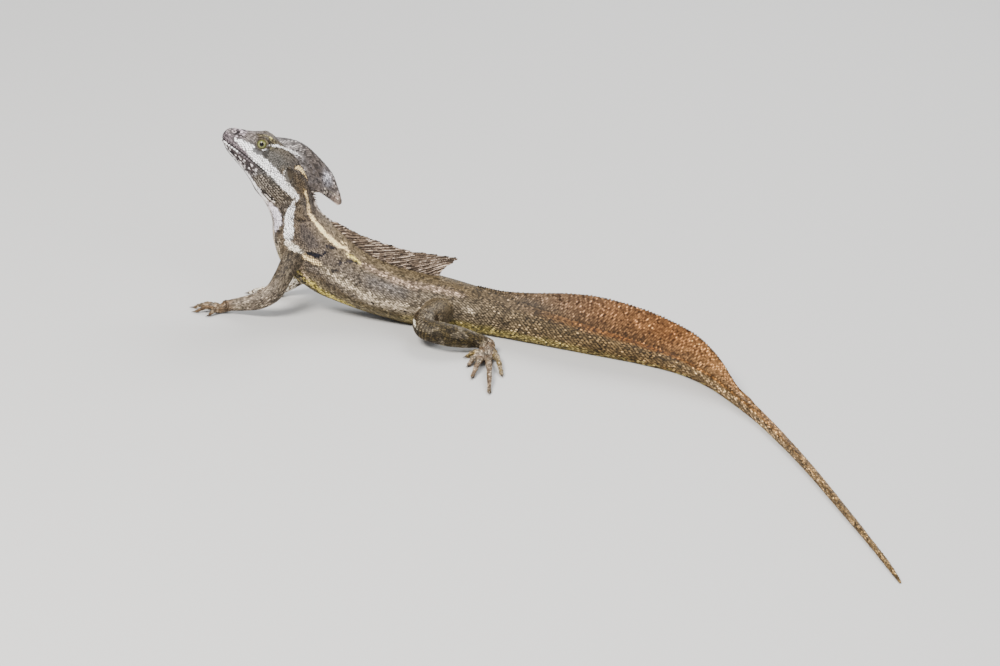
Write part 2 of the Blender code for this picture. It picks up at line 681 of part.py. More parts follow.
def digit(root, heading, length, arch, radius):
    """A toe or finger from its root to its tip, arched over its joints, with its claw."""
    direction = np.array([math.cos(heading), math.sin(heading), 0.0])
    share = np.linspace(0, 1, 7)
    rest = radius[1] * 0.9
    z = root[2] * (1 - share) + rest * share + arch * np.sin(math.pi * share) ** 1.2
    swell = 1 + 0.10 * np.cos(3 * 2 * math.pi * share)
    size = (radius[0] * (1 - share) + radius[1] * share) * swell
    line = root[None] * np.array([1, 1, 0]) + direction * (length * share)[:, None] + UP * z[:, None]
    toe_line = Tube(np.c_[line, size, size, size])
    toe = loft("toe", toe_line.rings(np.linspace(0, toe_line.length, max(5, int(length / 5))), 7))
    tip = line[-1] - direction * 0.8
    claw_share = np.linspace(0, 1, 4)
    drop = 0.7 * claw_share**2 - 0.5 * claw_share
    claw_line = tip + direction * ((CLAW_LENGTH + 0.8) * claw_share)[:, None] - UP * drop[:, None]
    thick = CLAW_RADIUS[0] * (1 - claw_share) + CLAW_RADIUS[1] * claw_share
    claw_tube = Tube(np.c_[claw_line, thick * 0.7, thick, thick])
    claw = loft("claw", claw_tube.rings(np.linspace(0, claw_tube.length, 3), 5))
    return toe, claw


def build_foot(name, leg, plan, heading_degrees, side):
    """Ankle, palm, five digits and claws in one body; side is 1 where the first digit is to the left."""
    heading = math.radians(heading_degrees)
    direction = np.array([math.cos(heading), math.sin(heading), 0.0])
    inward = np.array([-direction[1], direction[0], 0.0]) * side
    ankle = leg.frame(leg.length)[0][0]
    size = leg.sizes(leg.length)[0]
    rise = plan["height"] * 0.6
    rows = []
    steps = ((-0.14, 0.0, 0.45), (0.0, 0.0, 1.0), (0.4, 0.7, 1.0), (0.8, 1.0, 1.0), (1.05, 1.0, 0.5))
    for share, flat, fill in steps:
        centre = ankle + direction * plan["palm"] * share
        centre[2] = ankle[2] * (1 - flat) + rise * flat
        wide = (size[0] * (1 - flat) + plan["half_width"] * flat) * fill
        tall = (size[1] * (1 - flat) + rise * flat) * fill
        rows.append((*centre, wide, tall, tall))
    palm = Tube(rows, 2.2)
    foot = loft(name, palm.rings(np.linspace(0, palm.length, 7), 12))
    pieces = []
    for along, aside, length, turn, arch in plan["digits"]:
        root = ankle + direction * along + inward * aside
        root[2] = rise
        pieces += digit(root, heading + side * math.radians(turn), length, arch, plan["radius"])
    boolean(foot, pieces, "UNION")
    shank = loft("shank", leg.rings(np.linspace(leg.length * 0.6, leg.length - GAP, 8), 16, GAP))
    for vertex in shank.data.vertices[-16:]:
        vertex.co += Vector(leg.frame(leg.length)[1][0] * GAP * MM)
    boolean(foot, [shank], "DIFFERENCE")
    boolean(foot, [floor_slab()], "DIFFERENCE")
    return foot


def build():
    clear_scene()
    root = bpy.data.objects.new("basilisk", None)
    root.location = (PLACE_X * MM, PLACE_Y * MM, 0)
    bpy.context.scene.collection.objects.link(root)
    trunk = Tube(TRUNK, ROUNDNESS)
    neck_front, neck_rear = trunk.at_x(NECK_FRONT_X), trunk.at_x(NECK_REAR_X)
    vent = trunk.at_x(VENT_X)

    finish(build_head(trunk, neck_front), "skin", SKIN_BROWN, root)
    finish(build_crest(trunk, neck_front), "crest", CREST_GREY, root)
    for name, side in (("eye_left", 1), ("eye_right", -1)):
        eye = ball(name, eye_centre(side), [EYE_RADIUS] * 3, 16, 9)
        finish(eye, "eye", EYE_GREEN, root)

    neck = trunk_piece(trunk, "neck", neck_front + GAP, neck_rear, 24, 4.0)
    spots = np.linspace(neck_front + 3.5, neck_rear - 2.5, NAPE_SPINES)
    heights = (NAPE_SPINE_HEIGHT * (0.75 + 0.25 * (i % 2)) for i in range(len(spots)))
    spines = [nape_spine(trunk, t, height) for t, height in zip(spots, heights)]
    finish(boolean(neck, spines, "UNION"), "skin", SKIN_BROWN, root)

    torso = trunk_piece(trunk, "torso", neck_rear + GAP, vent, 26, 6.5)
    finish(boolean(torso, [floor_slab()], "DIFFERENCE"), "skin", SKIN_BROWN, root)
    finish(build_body_sail(trunk), "sail", SAIL_BROWN, root)

    cuts = [vent, *(trunk.at_x(x) for x in TAIL_CUTS_X), trunk.length]
    for number, (start, end) in enumerate(zip(cuts[:-1], cuts[1:]), 1):
        sides = (20, 16, 14, 10, 10, 8)[number - 1]
        piece = trunk_piece(trunk, f"tail_{number}", start + GAP, end, sides, 8.0)
        colour = ("skin", SKIN_BROWN) if number == 1 else ("whip", WHIP_TAN)
        finish(boolean(piece, [floor_slab()], "DIFFERENCE"), *colour, root)
    for piece in build_tail_sail(trunk):
        finish(piece, "tail_sail", TAIL_RUST, root)

    fore = ("upper_arm", "forearm", "hand", ELBOW_SHARE, SHOULDER_SPAN_X, HAND)
    hind = ("thigh", "shin", "foot", KNEE_SHARE, HIP_SPAN_X, FOOT)
    limbs = (
        (fore, "left", FORELEG_LEFT, LEFT_HAND_HEADING, -1),
        (fore, "right", FORELEG_RIGHT, RIGHT_HAND_HEADING, 1),
        (hind, "left", HINDLEG_LEFT, LEFT_FOOT_HEADING, -1),
        (hind, "right", HINDLEG_RIGHT, RIGHT_FOOT_HEADING, 1),
    )
    for (upper_name, lower_name, end_name, share, span, plan), half, stations, heading, side in limbs:
        names = (f"{upper_name}_{half}", f"{lower_name}_{half}")
        leg, upper, lower = leg_pieces(trunk, names, stations, share, span)
        end = build_foot(f"{end_name}_{half}", leg, plan, heading, side)
        for piece in (upper, lower, end):
            finish(piece, "skin", SKIN_BROWN, root)


build()
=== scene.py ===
import math
import bpy
import numpy as np
from mathutils import Matrix, Vector
from mathutils.bvhtree import BVHTree
from mathutils.kdtree import KDTree


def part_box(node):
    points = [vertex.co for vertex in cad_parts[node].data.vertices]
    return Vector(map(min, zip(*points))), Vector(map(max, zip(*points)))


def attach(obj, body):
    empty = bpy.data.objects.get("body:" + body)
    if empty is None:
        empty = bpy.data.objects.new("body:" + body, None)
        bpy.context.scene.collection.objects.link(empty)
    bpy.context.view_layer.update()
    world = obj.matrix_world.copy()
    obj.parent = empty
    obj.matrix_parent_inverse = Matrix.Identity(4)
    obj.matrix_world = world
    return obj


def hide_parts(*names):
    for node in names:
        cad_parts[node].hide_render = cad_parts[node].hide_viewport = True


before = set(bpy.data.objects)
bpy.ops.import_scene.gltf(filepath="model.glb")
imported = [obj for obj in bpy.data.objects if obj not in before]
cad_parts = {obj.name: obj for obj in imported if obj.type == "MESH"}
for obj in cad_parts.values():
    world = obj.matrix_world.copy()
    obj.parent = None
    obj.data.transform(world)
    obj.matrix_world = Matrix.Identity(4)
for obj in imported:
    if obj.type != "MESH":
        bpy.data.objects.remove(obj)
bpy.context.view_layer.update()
rng = np.random.default_rng(7)
tau = 2 * math.pi

# the body's layout, in mm from the vent, as in the CAD

# x, y, z, half width, height above, depth below, narrowing of the back
trunkRows = np.array([
    (-192.6, 0.0, 108.3, 0.9, 1.4, 0.9, 0.0), (-192.1, 0.0, 108.1, 2.4, 3.5, 2.5, 0.0),
    (-191.2, 0.0, 107.7, 3.6, 4.9, 3.8, 0.0), (-189.4, 0.0, 107.0, 5.0, 6.2, 5.1, 0.02),
    (-184.8, 0.0, 104.8, 7.0, 8.9, 8.0, 0.05), (-178.8, 0.0, 101.9, 9.0, 11.6, 10.1, 0.10),
    (-172.6, 0.0, 98.8, 11.0, 14.6, 11.9, 0.15), (-165.5, 0.0, 94.9, 12.9, 16.6, 14.4, 0.20),
    (-157.3, 0.0, 89.2, 13.9, 17.6, 17.5, 0.24), (-150.0, 0.0, 81.5, 13.4, 16.2, 17.5, 0.20),
    (-145.3, 0.0, 72.0, 12.0, 14.5, 16.0, 0.14), (-141.8, 0.0, 62.8, 12.2, 14.2, 15.0, 0.12),
    (-136.8, 0.0, 53.5, 14.0, 17.0, 19.3, 0.16), (-128.8, 0.0, 43.8, 16.6, 19.5, 23.2, 0.20),
    (-115.5, 0.0, 33.0, 18.2, 19.8, 21.5, 0.22), (-97.0, 0.0, 24.8, 18.2, 18.0, 18.5, 0.22),
    (-77.5, 0.0, 20.0, 17.4, 17.0, 17.5, 0.22), (-59.0, 0.0, 17.4, 15.8, 17.0, 17.8, 0.22),
    (-42.0, -0.3, 16.2, 13.8, 16.8, 16.8, 0.22), (-20.0, -1.2, 14.8, 11.4, 15.2, 15.4, 0.24),
    (2.0, -3.5, 13.4, 9.6, 13.8, 14.0, 0.26), (25.0, -7.0, 12.1, 8.3, 12.4, 12.7, 0.28),
    (60.0, -12.5, 9.9, 6.8, 10.2, 10.5, 0.26), (93.0, -18.0, 7.7, 5.6, 8.0, 8.3, 0.20),
    (119.0, -27.0, 6.1, 4.9, 6.3, 6.6, 0.12), (137.0, -42.0, 5.1, 4.4, 5.3, 5.6, 0.06),
    (151.5, -63.0, 4.4, 4.1, 4.6, 4.9, 0.0), (165.0, -86.0, 3.5, 3.5, 3.7, 4.1, 0.0),
    (179.0, -117.0, 3.0, 3.0, 3.1, 3.5, 0.0), (192.5, -151.0, 2.6, 2.6, 2.7, 3.1, 0.0),
    (212.0, -208.0, 2.1, 2.1, 2.2, 2.6, 0.0), (227.5, -255.0, 1.6, 1.6, 1.7, 2.1, 0.0),
    (237.0, -286.0, 1.2, 1.3, 1.4, 1.7, 0.0), (241.0, -300.0, 0.7, 0.8, 0.9, 1.2, 0.0)])
legRows = {
    "foreleg_left": [
        (-131.0, -7.0, 42.0, 6.8, 7.2, 7.2), (-138.5, -17.0, 36.0, 6.2, 6.6, 6.6),
        (-142.5, -24.0, 26.5, 5.6, 6.0, 6.0), (-147.2, -29.2, 17.0, 5.6, 6.0, 6.0),
        (-155.0, -31.0, 11.2, 5.6, 5.6, 5.6), (-165.0, -31.0, 7.4, 4.7, 4.5, 4.5),
        (-174.5, -31.0, 4.8, 3.6, 3.4, 3.4)],
    "foreleg_right": [
        (-131.0, 7.0, 42.0, 6.6, 7.0, 7.0), (-127.5, 15.5, 36.0, 6.0, 6.4, 6.4),
        (-123.5, 22.0, 29.0, 5.3, 5.7, 5.7), (-124.5, 23.0, 21.5, 5.2, 5.5, 5.5),
        (-131.0, 20.5, 15.5, 5.2, 5.2, 5.2), (-138.5, 16.0, 9.2, 4.3, 4.1, 4.1),
        (-145.0, 12.0, 4.8, 3.4, 3.2, 3.2)],
    "hindleg_left": [
        (-38.0, -4.0, 14.5, 8.4, 8.6, 8.6), (-41.5, -14.0, 14.0, 9.0, 8.8, 9.0),
        (-45.0, -26.0, 13.8, 9.2, 8.8, 9.2), (-48.5, -36.0, 13.4, 7.8, 7.8, 8.0),
        (-47.0, -43.5, 12.4, 6.6, 6.8, 6.8), (-38.5, -45.5, 11.6, 7.0, 7.4, 6.9),
        (-25.5, -42.5, 9.4, 6.4, 7.0, 6.4), (-13.5, -37.0, 6.8, 4.6, 4.7, 4.5),
        (-6.5, -33.5, 5.0, 3.7, 3.5, 3.5)],
    "hindleg_right": [
        (-38.0, 4.0, 14.5, 8.4, 8.6, 8.6), (-41.5, 13.0, 15.0, 9.0, 9.2, 9.2),
        (-47.5, 22.0, 15.2, 8.6, 9.0, 9.0), (-54.0, 29.5, 14.0, 6.8, 7.2, 7.2),
        (-56.0, 37.5, 12.0, 5.8, 5.8, 5.8), (-48.0, 42.0, 10.4, 5.9, 5.7, 5.7),
        (-34.0, 39.5, 8.2, 5.5, 5.2, 5.2), (-20.0, 35.0, 6.2, 4.2, 3.9, 3.9),
        (-10.5, 32.0, 4.9, 3.6, 3.4, 3.4)]}
# palm length, half width, height, digit radii at root and tip; digits: along, aside, length, turn, arch
hand = {"palm": 8.6, "halfWidth": 4.9, "height": 3.4, "radius": (1.7, 1.05), "digits": [
    (5.0, 3.4, 7.5, 52.0, 1.0), (7.4, 2.8, 10.5, 27.0, 1.8), (8.0, 0.9, 13.5, 7.0, 2.2),
    (7.6, -1.5, 13.5, -13.0, 2.2), (5.8, -3.2, 9.5, -42.0, 1.5)]}
foot = {"palm": 21.0, "halfWidth": 5.6, "height": 3.8, "radius": (2.25, 1.25), "digits": [
    (12.5, 4.0, 10.5, 52.0, 1.6), (16.0, 3.9, 18.5, 21.0, 2.0), (18.5, 2.2, 34.0, 8.0, 2.6),
    (19.0, -1.2, 54.0, -4.0, 2.8), (7.5, -4.0, 35.0, -12.0, 2.2)]}
# plan, heading in degrees, side of the first digit
feet = {"foreleg_left": (hand, 192.0, -1), "foreleg_right": (hand, 208.0, 1),
        "hindleg_left": (foot, 270.0, -1), "hindleg_right": (foot, 38.0, 1)}
head = {"tilt": math.radians(38), "origin": np.array([-165.1, 0.0, 108.7]), "eyeSide": 6.5, "eyeDrop": 1.6,
        "eyeRadius": 3.9, "lidThick": 0.8, "browRise": 2.3, "nostril": (17.9, -9.8), "ear": (-25.4, -3.1),
        "earSize": (2.2, 4.0), "mouthFront": (20.5, -18.8), "mouthCorner": (-13.0, -11.4), "mouthArch": 0.9}


# curves and tubes

# cubic curve through rows at knots, with slopes averaged by the neighbouring steps
def hermite(knots, rows, t):
    steps = np.diff(knots)
    slopes = np.diff(rows, axis=0) / steps[:, None]
    tangents = np.empty_like(rows)
    tangents[0], tangents[-1] = slopes[0], slopes[-1]
    share = (steps[:-1] / (steps[:-1] + steps[1:]))[:, None]
    tangents[1:-1] = slopes[:-1] * (1 - share) + slopes[1:] * share
    t = np.clip(t, knots[0], knots[-1])
    k = np.clip(np.searchsorted(knots, t, side="right") - 1, 0, len(knots) - 2)
    h = steps[k][:, None]
    u = (t - knots[k])[:, None] / h
    return (rows[k] * (2 * u**3 - 3 * u**2 + 1) + tangents[k] * h * (u**3 - 2 * u**2 + u)
            + rows[k + 1] * (3 * u**2 - 2 * u**3) + tangents[k + 1] * h * (u**3 - u**2))


# distance run along a line of points, at each of them
def arcKnots(points):
    return np.r_[0, np.cumsum(np.linalg.norm(np.diff(points, axis=0), axis=1))]


# n even samples of the smooth curve through these points
def through(points, n):
    points = np.asarray(points, float)
    knots = arcKnots(points)
    return hermite(knots, points, np.linspace(0, knots[-1], n))


# a smooth curve through evenly spaced values, read at shares of its length
def spread(values):
    rows = np.asarray(values, float)[:, None]
    return lambda share: hermite(np.linspace(0, 1, len(rows)), rows, share)[:, 0]


# each vector divided by its length
def unit(v):
    return v / np.maximum(np.linalg.norm(v, axis=-1, keepdims=True), 1e-9)


# each row of a times its row of b, added up
def dot(a, b):
    return np.einsum("ij,ij->i", a, b)


# 0 at low and 1 at high, by 3u^2 - 2u^3 of the share u between them
def smooth(low, high, x):
    u = np.clip((x - low) / (high - low), 0, 1)
    return u * u * (3 - 2 * u)


# a body of superellipse sections along a smooth line; angle 0 is the back, pi the belly, pi/2 the left side
class Tube:
    def __init__(self, rows, roundness=2.0, reshape=None):
        rows = np.asarray(rows, float)
        self.rows = rows if rows.shape[1] == 7 else np.c_[rows, np.zeros(len(rows))]
        self.roundness, self.reshape = roundness, reshape
        self.knots = arcKnots(self.rows[:, :3])
        self.length = self.knots[-1]

    def atX(self, x):
        return float(np.interp(x, self.rows[:, 0], self.knots))

    def centre(self, t):
        return hermite(self.knots, self.rows[:, :3], t)

    def axes(self, t):
        tangent = unit(self.centre(t + 0.4) - self.centre(t - 0.4))
        left = unit(np.cross(tangent, [0.0, 0.0, 1.0]))
        return tangent, np.cross(left, tangent), left

    def sizes(self, t):
        return hermite(self.knots, self.rows[:, 3:], t)

    # centre + dorsal * |cos a|^(2/n) * height + left * |sin a|^(2/n) * width * (1 - taper * cos a)
    def at(self, t, a, grow=0.0):
        _, dorsal, left = self.axes(t)
        size = self.sizes(t)
        c, s = np.cos(a), np.sin(a)
        power = 2 / self.roundness
        across = np.sign(s) * np.abs(s) ** power * (size[:, 0] + grow) * (1 - size[:, 3] * c)
        upward = np.sign(c) * np.abs(c) ** power * (np.where(c > 0, size[:, 1], size[:, 2]) + grow)
        points = self.centre(t) + dorsal * upward[:, None] + left * across[:, None]
        return self.reshape(points) if self.reshape else points

    def back(self, t, rise=0.0):
        dorsal = self.axes(t)[1]
        return self.centre(t) + dorsal * (self.sizes(t)[:, 1:2] + rise)

    # share of the way from the centre line to the surface, under 1 inside
    def depth(self, points, start=0.0, end=None):
        t = np.linspace(start, end or self.length, 160)
        centre = self.centre(t)
        near = np.empty(len(points), int)
        atOnce = 20000  # points compared at a time, to save memory
        for low in range(0, len(points), atOnce):
            gap = points[low:low + atOnce, None] - centre[None]
            near[low:low + atOnce] = np.einsum("ijk,ijk->ij", gap, gap).argmin(1)
        tangent, dorsal, left = self.axes(t)
        size = self.sizes(t)[near]
        offset = points - centre[near]
        up, side, along = (dot(offset, axis[near]) for axis in (dorsal, left, tangent))
        tall = np.where(up > 0, size[:, 1], size[:, 2])
        wide = size[:, 0] * (1 - size[:, 3] * np.clip(up / tall, -1, 1))
        ratio = np.hypot(up / tall, side / wide)
        return np.where(np.abs(along) > 1.5, 9.0, ratio)  # past either end counts as far outside


# head shape

forward = np.array([-math.cos(head["tilt"]), 0.0, math.sin(head["tilt"])])
upward = np.array([math.sin(head["tilt"]), 0.0, math.cos(head["tilt"])])
leftward = np.array([0.0, -1.0, 0.0])


# a place on the head, so far forward, upward and to the left of its origin
def headPoint(f, u, side):
    return head["origin"] + forward * f + upward * u + leftward * side


# how far forward and upward of the head's origin points are
def headPlace(points):
    offset = points - head["origin"]
    return offset @ forward, offset @ upward


# the middle of an eyeball, 1 for the left and -1 for the right
def eyeCentre(side):
    return headPoint(0, -head["eyeDrop"], side * head["eyeSide"])


# 1 at the centre, falling as exp(-x^2) over the width in two directions
def bump(a, b, centre, width):
    return np.exp(-(((a - centre[0]) / width[0]) ** 2) - (((b - centre[1]) / width[1]) ** 2))


# height of the mouth line: straight from corner to front, arched by half a sine
def mouthHeight(f):
    (f0, u0), (f1, u1) = head["mouthCorner"], head["mouthFront"]
    share = (f - f0) / (f1 - f0)
    return u0 + share * (u1 - u0) + head["mouthArch"] * np.sin(math.pi * np.clip(share, 0, 1))


# how far the head's sides move out in mm, the place's forward and up, and its spread in both
headForms = {"brow": (1.3, (3.5, 4.4), (6.0, 2.0)), "lore": (-1.1, (10.0, -5.0), (4.0, 3.0)),
             "temple": (-0.9, (-11.5, 0.5), (5.0, 4.5)), "cheek": (1.2, (-21.0, -10.0), (7.0, 5.0)),
             "nostril": (0.6, head["nostril"], (2.6, 2.2))}


# the loft's points moved out at brows, lids, cheeks and lips, and in at the lore and temple
def shapeHead(points):
    f, u = headPlace(points)
    sideways = np.clip(np.abs(points[..., 1]) / 8.0, 0, 1)
    out = np.zeros_like(f)
    for amount, place, width in headForms.values():
        out += amount * bump(f, u, place, width) * sideways
    onMouth = 1 / (1 + np.exp(-(f - head["mouthCorner"][0]) / 1.2))
    for lip in (-1.3, 1.4):
        out += 0.4 * np.exp(-(((u - mouthHeight(f) - lip) / 1.0) ** 2)) * onMouth
    moved = points.copy()
    moved[..., 1] += np.sign(points[..., 1]) * out * 0.85
    side = np.abs(points[..., 1])
    brow = head["browRise"] * bump(f, side, (2.0, 4.0), (6.0, 4.0)) / (1 + np.exp(-(u + 5.0)))
    moved += upward * (out * 0.4 * (u > 2.0) + brow)[..., None]
    for side in (-1, 1):
        away = moved - eyeCentre(side)
        distance = np.linalg.norm(away, axis=-1, keepdims=True)
        shell = head["eyeRadius"] + head["lidThick"]
        near = np.clip((shell + 1.2 - distance) / 1.2, 0, 1) * (moved[..., 1:2] * -side > 2.5)
        moved += away / np.maximum(distance, 0.01) * (shell - distance + 0.15) * near * (distance < shell)
    return moved


trunk = Tube(trunkRows, 2.2, shapeHead)
legs = {name: Tube(rows, 2.1) for name, rows in legRows.items()}
shift = np.array(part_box("eye_left")).mean(0) - eyeCentre(1) / 1000  # from the layout's frame to the CAD's
neckT, ventT = trunk.atX(-145.3), trunk.atX(-20.0)


# a digit's centre line and radii: straight ahead, arched over its joints, with three swellings
def digitRows(root, heading, length, arch, radius, n=13):
    direction = np.array([math.cos(heading), math.sin(heading), 0.0])
    share = np.linspace(0, 1, n)
    z = root[2] * (1 - share) + radius[1] * 0.9 * share + arch * np.sin(math.pi * share) ** 1.2
    size = (radius[0] * (1 - share) + radius[1] * share) * (1 + 0.10 * np.cos(3 * tau * share))
    line = root * [1, 1, 0] + direction * (length * share)[:, None]
    line[:, 2] = z
    return np.c_[line, size, size, size], direction


# palm and digits of a foot, each claw's place and direction, and the foot's own frame
def footTubes(name):
    plan, headingDegrees, side = feet[name]
    leg = legs[name]
    heading = math.radians(headingDegrees)
    direction = np.array([math.cos(heading), math.sin(heading), 0.0])
    inward = np.array([-direction[1], direction[0], 0.0]) * side
    ankle, size = leg.centre(np.array([leg.length]))[0], leg.sizes(np.array([leg.length]))[0]
    rise = plan["height"] * 0.6
    rows = []
    for share, flat, fill in ((-0.14, 0, 0.45), (0, 0, 1), (0.4, 0.7, 1), (0.8, 1, 1), (1.05, 1, 0.5)):
        centre = ankle + direction * plan["palm"] * share
        centre[2] = ankle[2] * (1 - flat) + rise * flat
        wide = (size[0] * (1 - flat) + plan["halfWidth"] * flat) * fill
        tall = (size[1] * (1 - flat) + rise * flat) * fill
        rows.append((*centre, wide, tall, tall))
    tubes, claws = [Tube(rows, 2.2)], []
    for along, aside, length, turn, arch in plan["digits"]:
        root = ankle + direction * along + inward * aside
        root[2] = rise
        rows, ahead = digitRows(root, heading + side * math.radians(turn), length, arch, plan["radius"])
        tubes.append(Tube(rows))
        claws.append((rows[-1, :3], ahead))
    return tubes, claws, (ankle, direction, inward)


footParts = {name: footTubes(name) for name in legs}


# meshes

# an object from points in mm and faces that all have as many corners
def makeObject(name, points, faces, smoothShade=True):
    mesh = bpy.data.meshes.new(name)
    points = np.ascontiguousarray(points / 1000 + shift, dtype=np.float32)
    faces = np.asarray(faces, np.int32)
    mesh.vertices.add(len(points))
    mesh.vertices.foreach_set("co", points.ravel())
    mesh.loops.add(faces.size)
    mesh.loops.foreach_set("vertex_index", faces.ravel())
    mesh.polygons.add(len(faces))
    mesh.polygons.foreach_set("loop_start", np.arange(0, faces.size, faces.shape[1], dtype=np.int32))
    mesh.polygons.foreach_set("loop_total", np.full(len(faces), faces.shape[1], np.int32))
    mesh.update(calc_edges=True)
    mesh.validate()
    mesh.shade_smooth() if smoothShade else mesh.shade_flat()
    obj = bpy.data.objects.new(name, mesh)
    bpy.context.scene.collection.objects.link(obj)
    return obj


# quads between the rings of a grid whose sides close on themselves
def ringFaces(count, sides):
    index = np.arange(count * sides).reshape(count, sides)
    here, there = index[:-1], index[1:]
    return np.stack([here, np.roll(here, -1, 1), np.roll(there, -1, 1), there], -1).reshape(-1, 4)


# rings of a tube, closed by shrinking both ends to a point
def tubeGrid(tube, t, sides):
    a = np.arange(sides) * tau / sides
    points = tube.at(np.repeat(t, sides), np.tile(a, len(t))).reshape(len(t), sides, 3)
    ends = [np.repeat(points[i].mean(0)[None], sides, 0)[None] for i in (0, -1)]
    points = np.concatenate([ends[0], points, ends[1]])
    return points.reshape(-1, 3), ringFaces(len(t) + 2, sides)


# several grids as one list of points and one of faces
def joinGrids(grids):
    points, faces, total = [], [], 0
    for p, f in grids:
        points.append(p)
        faces.append(f + total)
        total += len(p)
    return np.concatenate(points), np.concatenate(faces)


# the object's mesh replaced by what its modifiers make of it
def applied(obj):
    bpy.context.view_layer.update()
    mesh = bpy.data.meshes.new_from_object(obj.evaluated_get(bpy.context.evaluated_depsgraph_get()))
    old, obj.data = obj.data, mesh
    obj.modifiers.clear()
    mesh.name = obj.name
    bpy.data.meshes.remove(old)


# a mesh's points in mm from the vent
def coordinates(obj):
    flat = np.empty(len(obj.data.vertices) * 3, np.float32)
    obj.data.vertices.foreach_get("co", flat)
    return (flat.reshape(-1, 3).astype(float) - shift) * 1000


# moves a mesh's points to these
def setCoordinates(obj, points):
    obj.data.vertices.foreach_set("co", np.ascontiguousarray(points / 1000 + shift, dtype=np.float32).ravel())
    obj.data.update()


# the direction outwards at each point
def normals(obj):
    flat = np.empty(len(obj.data.vertices) * 3, np.float32)
    obj.data.vertex_normals.foreach_get("vector", flat)
    return flat.reshape(-1, 3).astype(float)


# darkens all but the pale colours, so that the white marks stand out in bright light
grading = {"shadow": 0.46, "from": 0.28, "to": 0.70, "saturation": 1.14}


# grades the colours and stores them on the points
def setTint(obj, colours):
    mean = colours.mean(1, keepdims=True)
    lift = grading["shadow"] + (1 - grading["shadow"]) * smooth(grading["from"], grading["to"], mean)
    colours = (mean + (colours - mean) * grading["saturation"]) * lift
    layer = obj.data.attributes.new("tint", "FLOAT_COLOR", "POINT")
    opaque = np.c_[np.clip(colours, 0, 1), np.ones(len(colours))]
    layer.data.foreach_set("color", opaque.astype(np.float32).ravel())


# stores the place of each face corner on the piece's map
def setMap(obj, uv):
    layer = obj.data.uv_layers.new(name="OFBake")
    layer.data.foreach_set("uv", np.clip(uv, 0.001, 0.999).astype(np.float32).ravel())


# the point at each face corner
def cornerIndex(obj):
    index = np.empty(len(obj.data.loops), np.int32)
    obj.data.loops.foreach_get("vertex_index", index)
    return index


# smooth value noise, 0 to 1

# a random value for each corner of a grid, the fraction left of a large sine
def lattice(i, seed):
    value = np.sin(i[..., 0] * 127.1 + i[..., 1] * 311.7 + i[..., 2] * 74.7 + seed * 19.19) * 43758.5453
    return value - np.floor(value)


# trilinear blend of random corners, eased inside each cell
def noise(points, size, seed=0):
    q = points / size + seed * 7.31
    i = np.floor(q)
    f = q - i
    f = f * f * (3 - 2 * f)
    total = 0.0
    for dx in (0, 1):
        for dy in (0, 1):
            for dz in (0, 1):
                weight = (np.where(dx, f[..., 0], 1 - f[..., 0]) * np.where(dy, f[..., 1], 1 - f[..., 1])
                          * np.where(dz, f[..., 2], 1 - f[..., 2]))
                total = total + weight * lattice(i + [dx, dy, dz], seed)
    return total


# markings, the same for skin and scales

# a colour in 0 to 255 as linear light
def rgb(r, g, b):
    c = np.array([r, g, b]) / 255
    return np.where(c < 0.04045, c / 12.92, ((c + 0.055) / 1.055) ** 2.4)


# colours along the trunk at these places, on the back, the side, low on the side and under the belly
# on the tail the low tones are darker in part as painted shade from below
tones = {
    "places": (-192, -165, -150, -140, -125, -80, -30, 20, 60, 100, 137, 165, 241),
    "back": [
        (168, 158, 158), (118, 108, 92), (114, 108, 106), (126, 114, 101), (149, 133, 111), (130, 115, 92),
        (114, 98, 74), (122, 105, 86), (134, 102, 74), (140, 101, 67), (150, 114, 79), (158, 126, 90),
        (142, 116, 76)],
    "side": [
        (156, 146, 144), (130, 126, 122), (126, 121, 115), (136, 120, 104), (132, 119, 106),
        (146, 134, 120), (138, 124, 104), (128, 110, 84), (123, 102, 72), (128, 105, 74), (164, 138, 104),
        (168, 141, 108), (136, 112, 78)],
    "low": [
        (140, 128, 124), (120, 112, 106), (112, 104, 98), (138, 122, 106), (158, 142, 114), (162, 148, 118),
        (164, 148, 94), (174, 158, 100), (126, 106, 70), (118, 94, 60), (130, 102, 68), (150, 122, 88),
        (134, 111, 78)],
    "belly": [
        (224, 216, 216), (228, 220, 222), (232, 226, 228), (196, 184, 176), (190, 172, 110), (142, 126, 82),
        (122, 108, 72), (136, 122, 76), (158, 140, 92), (160, 136, 92), (158, 132, 92), (156, 128, 90),
        (134, 112, 78)]}
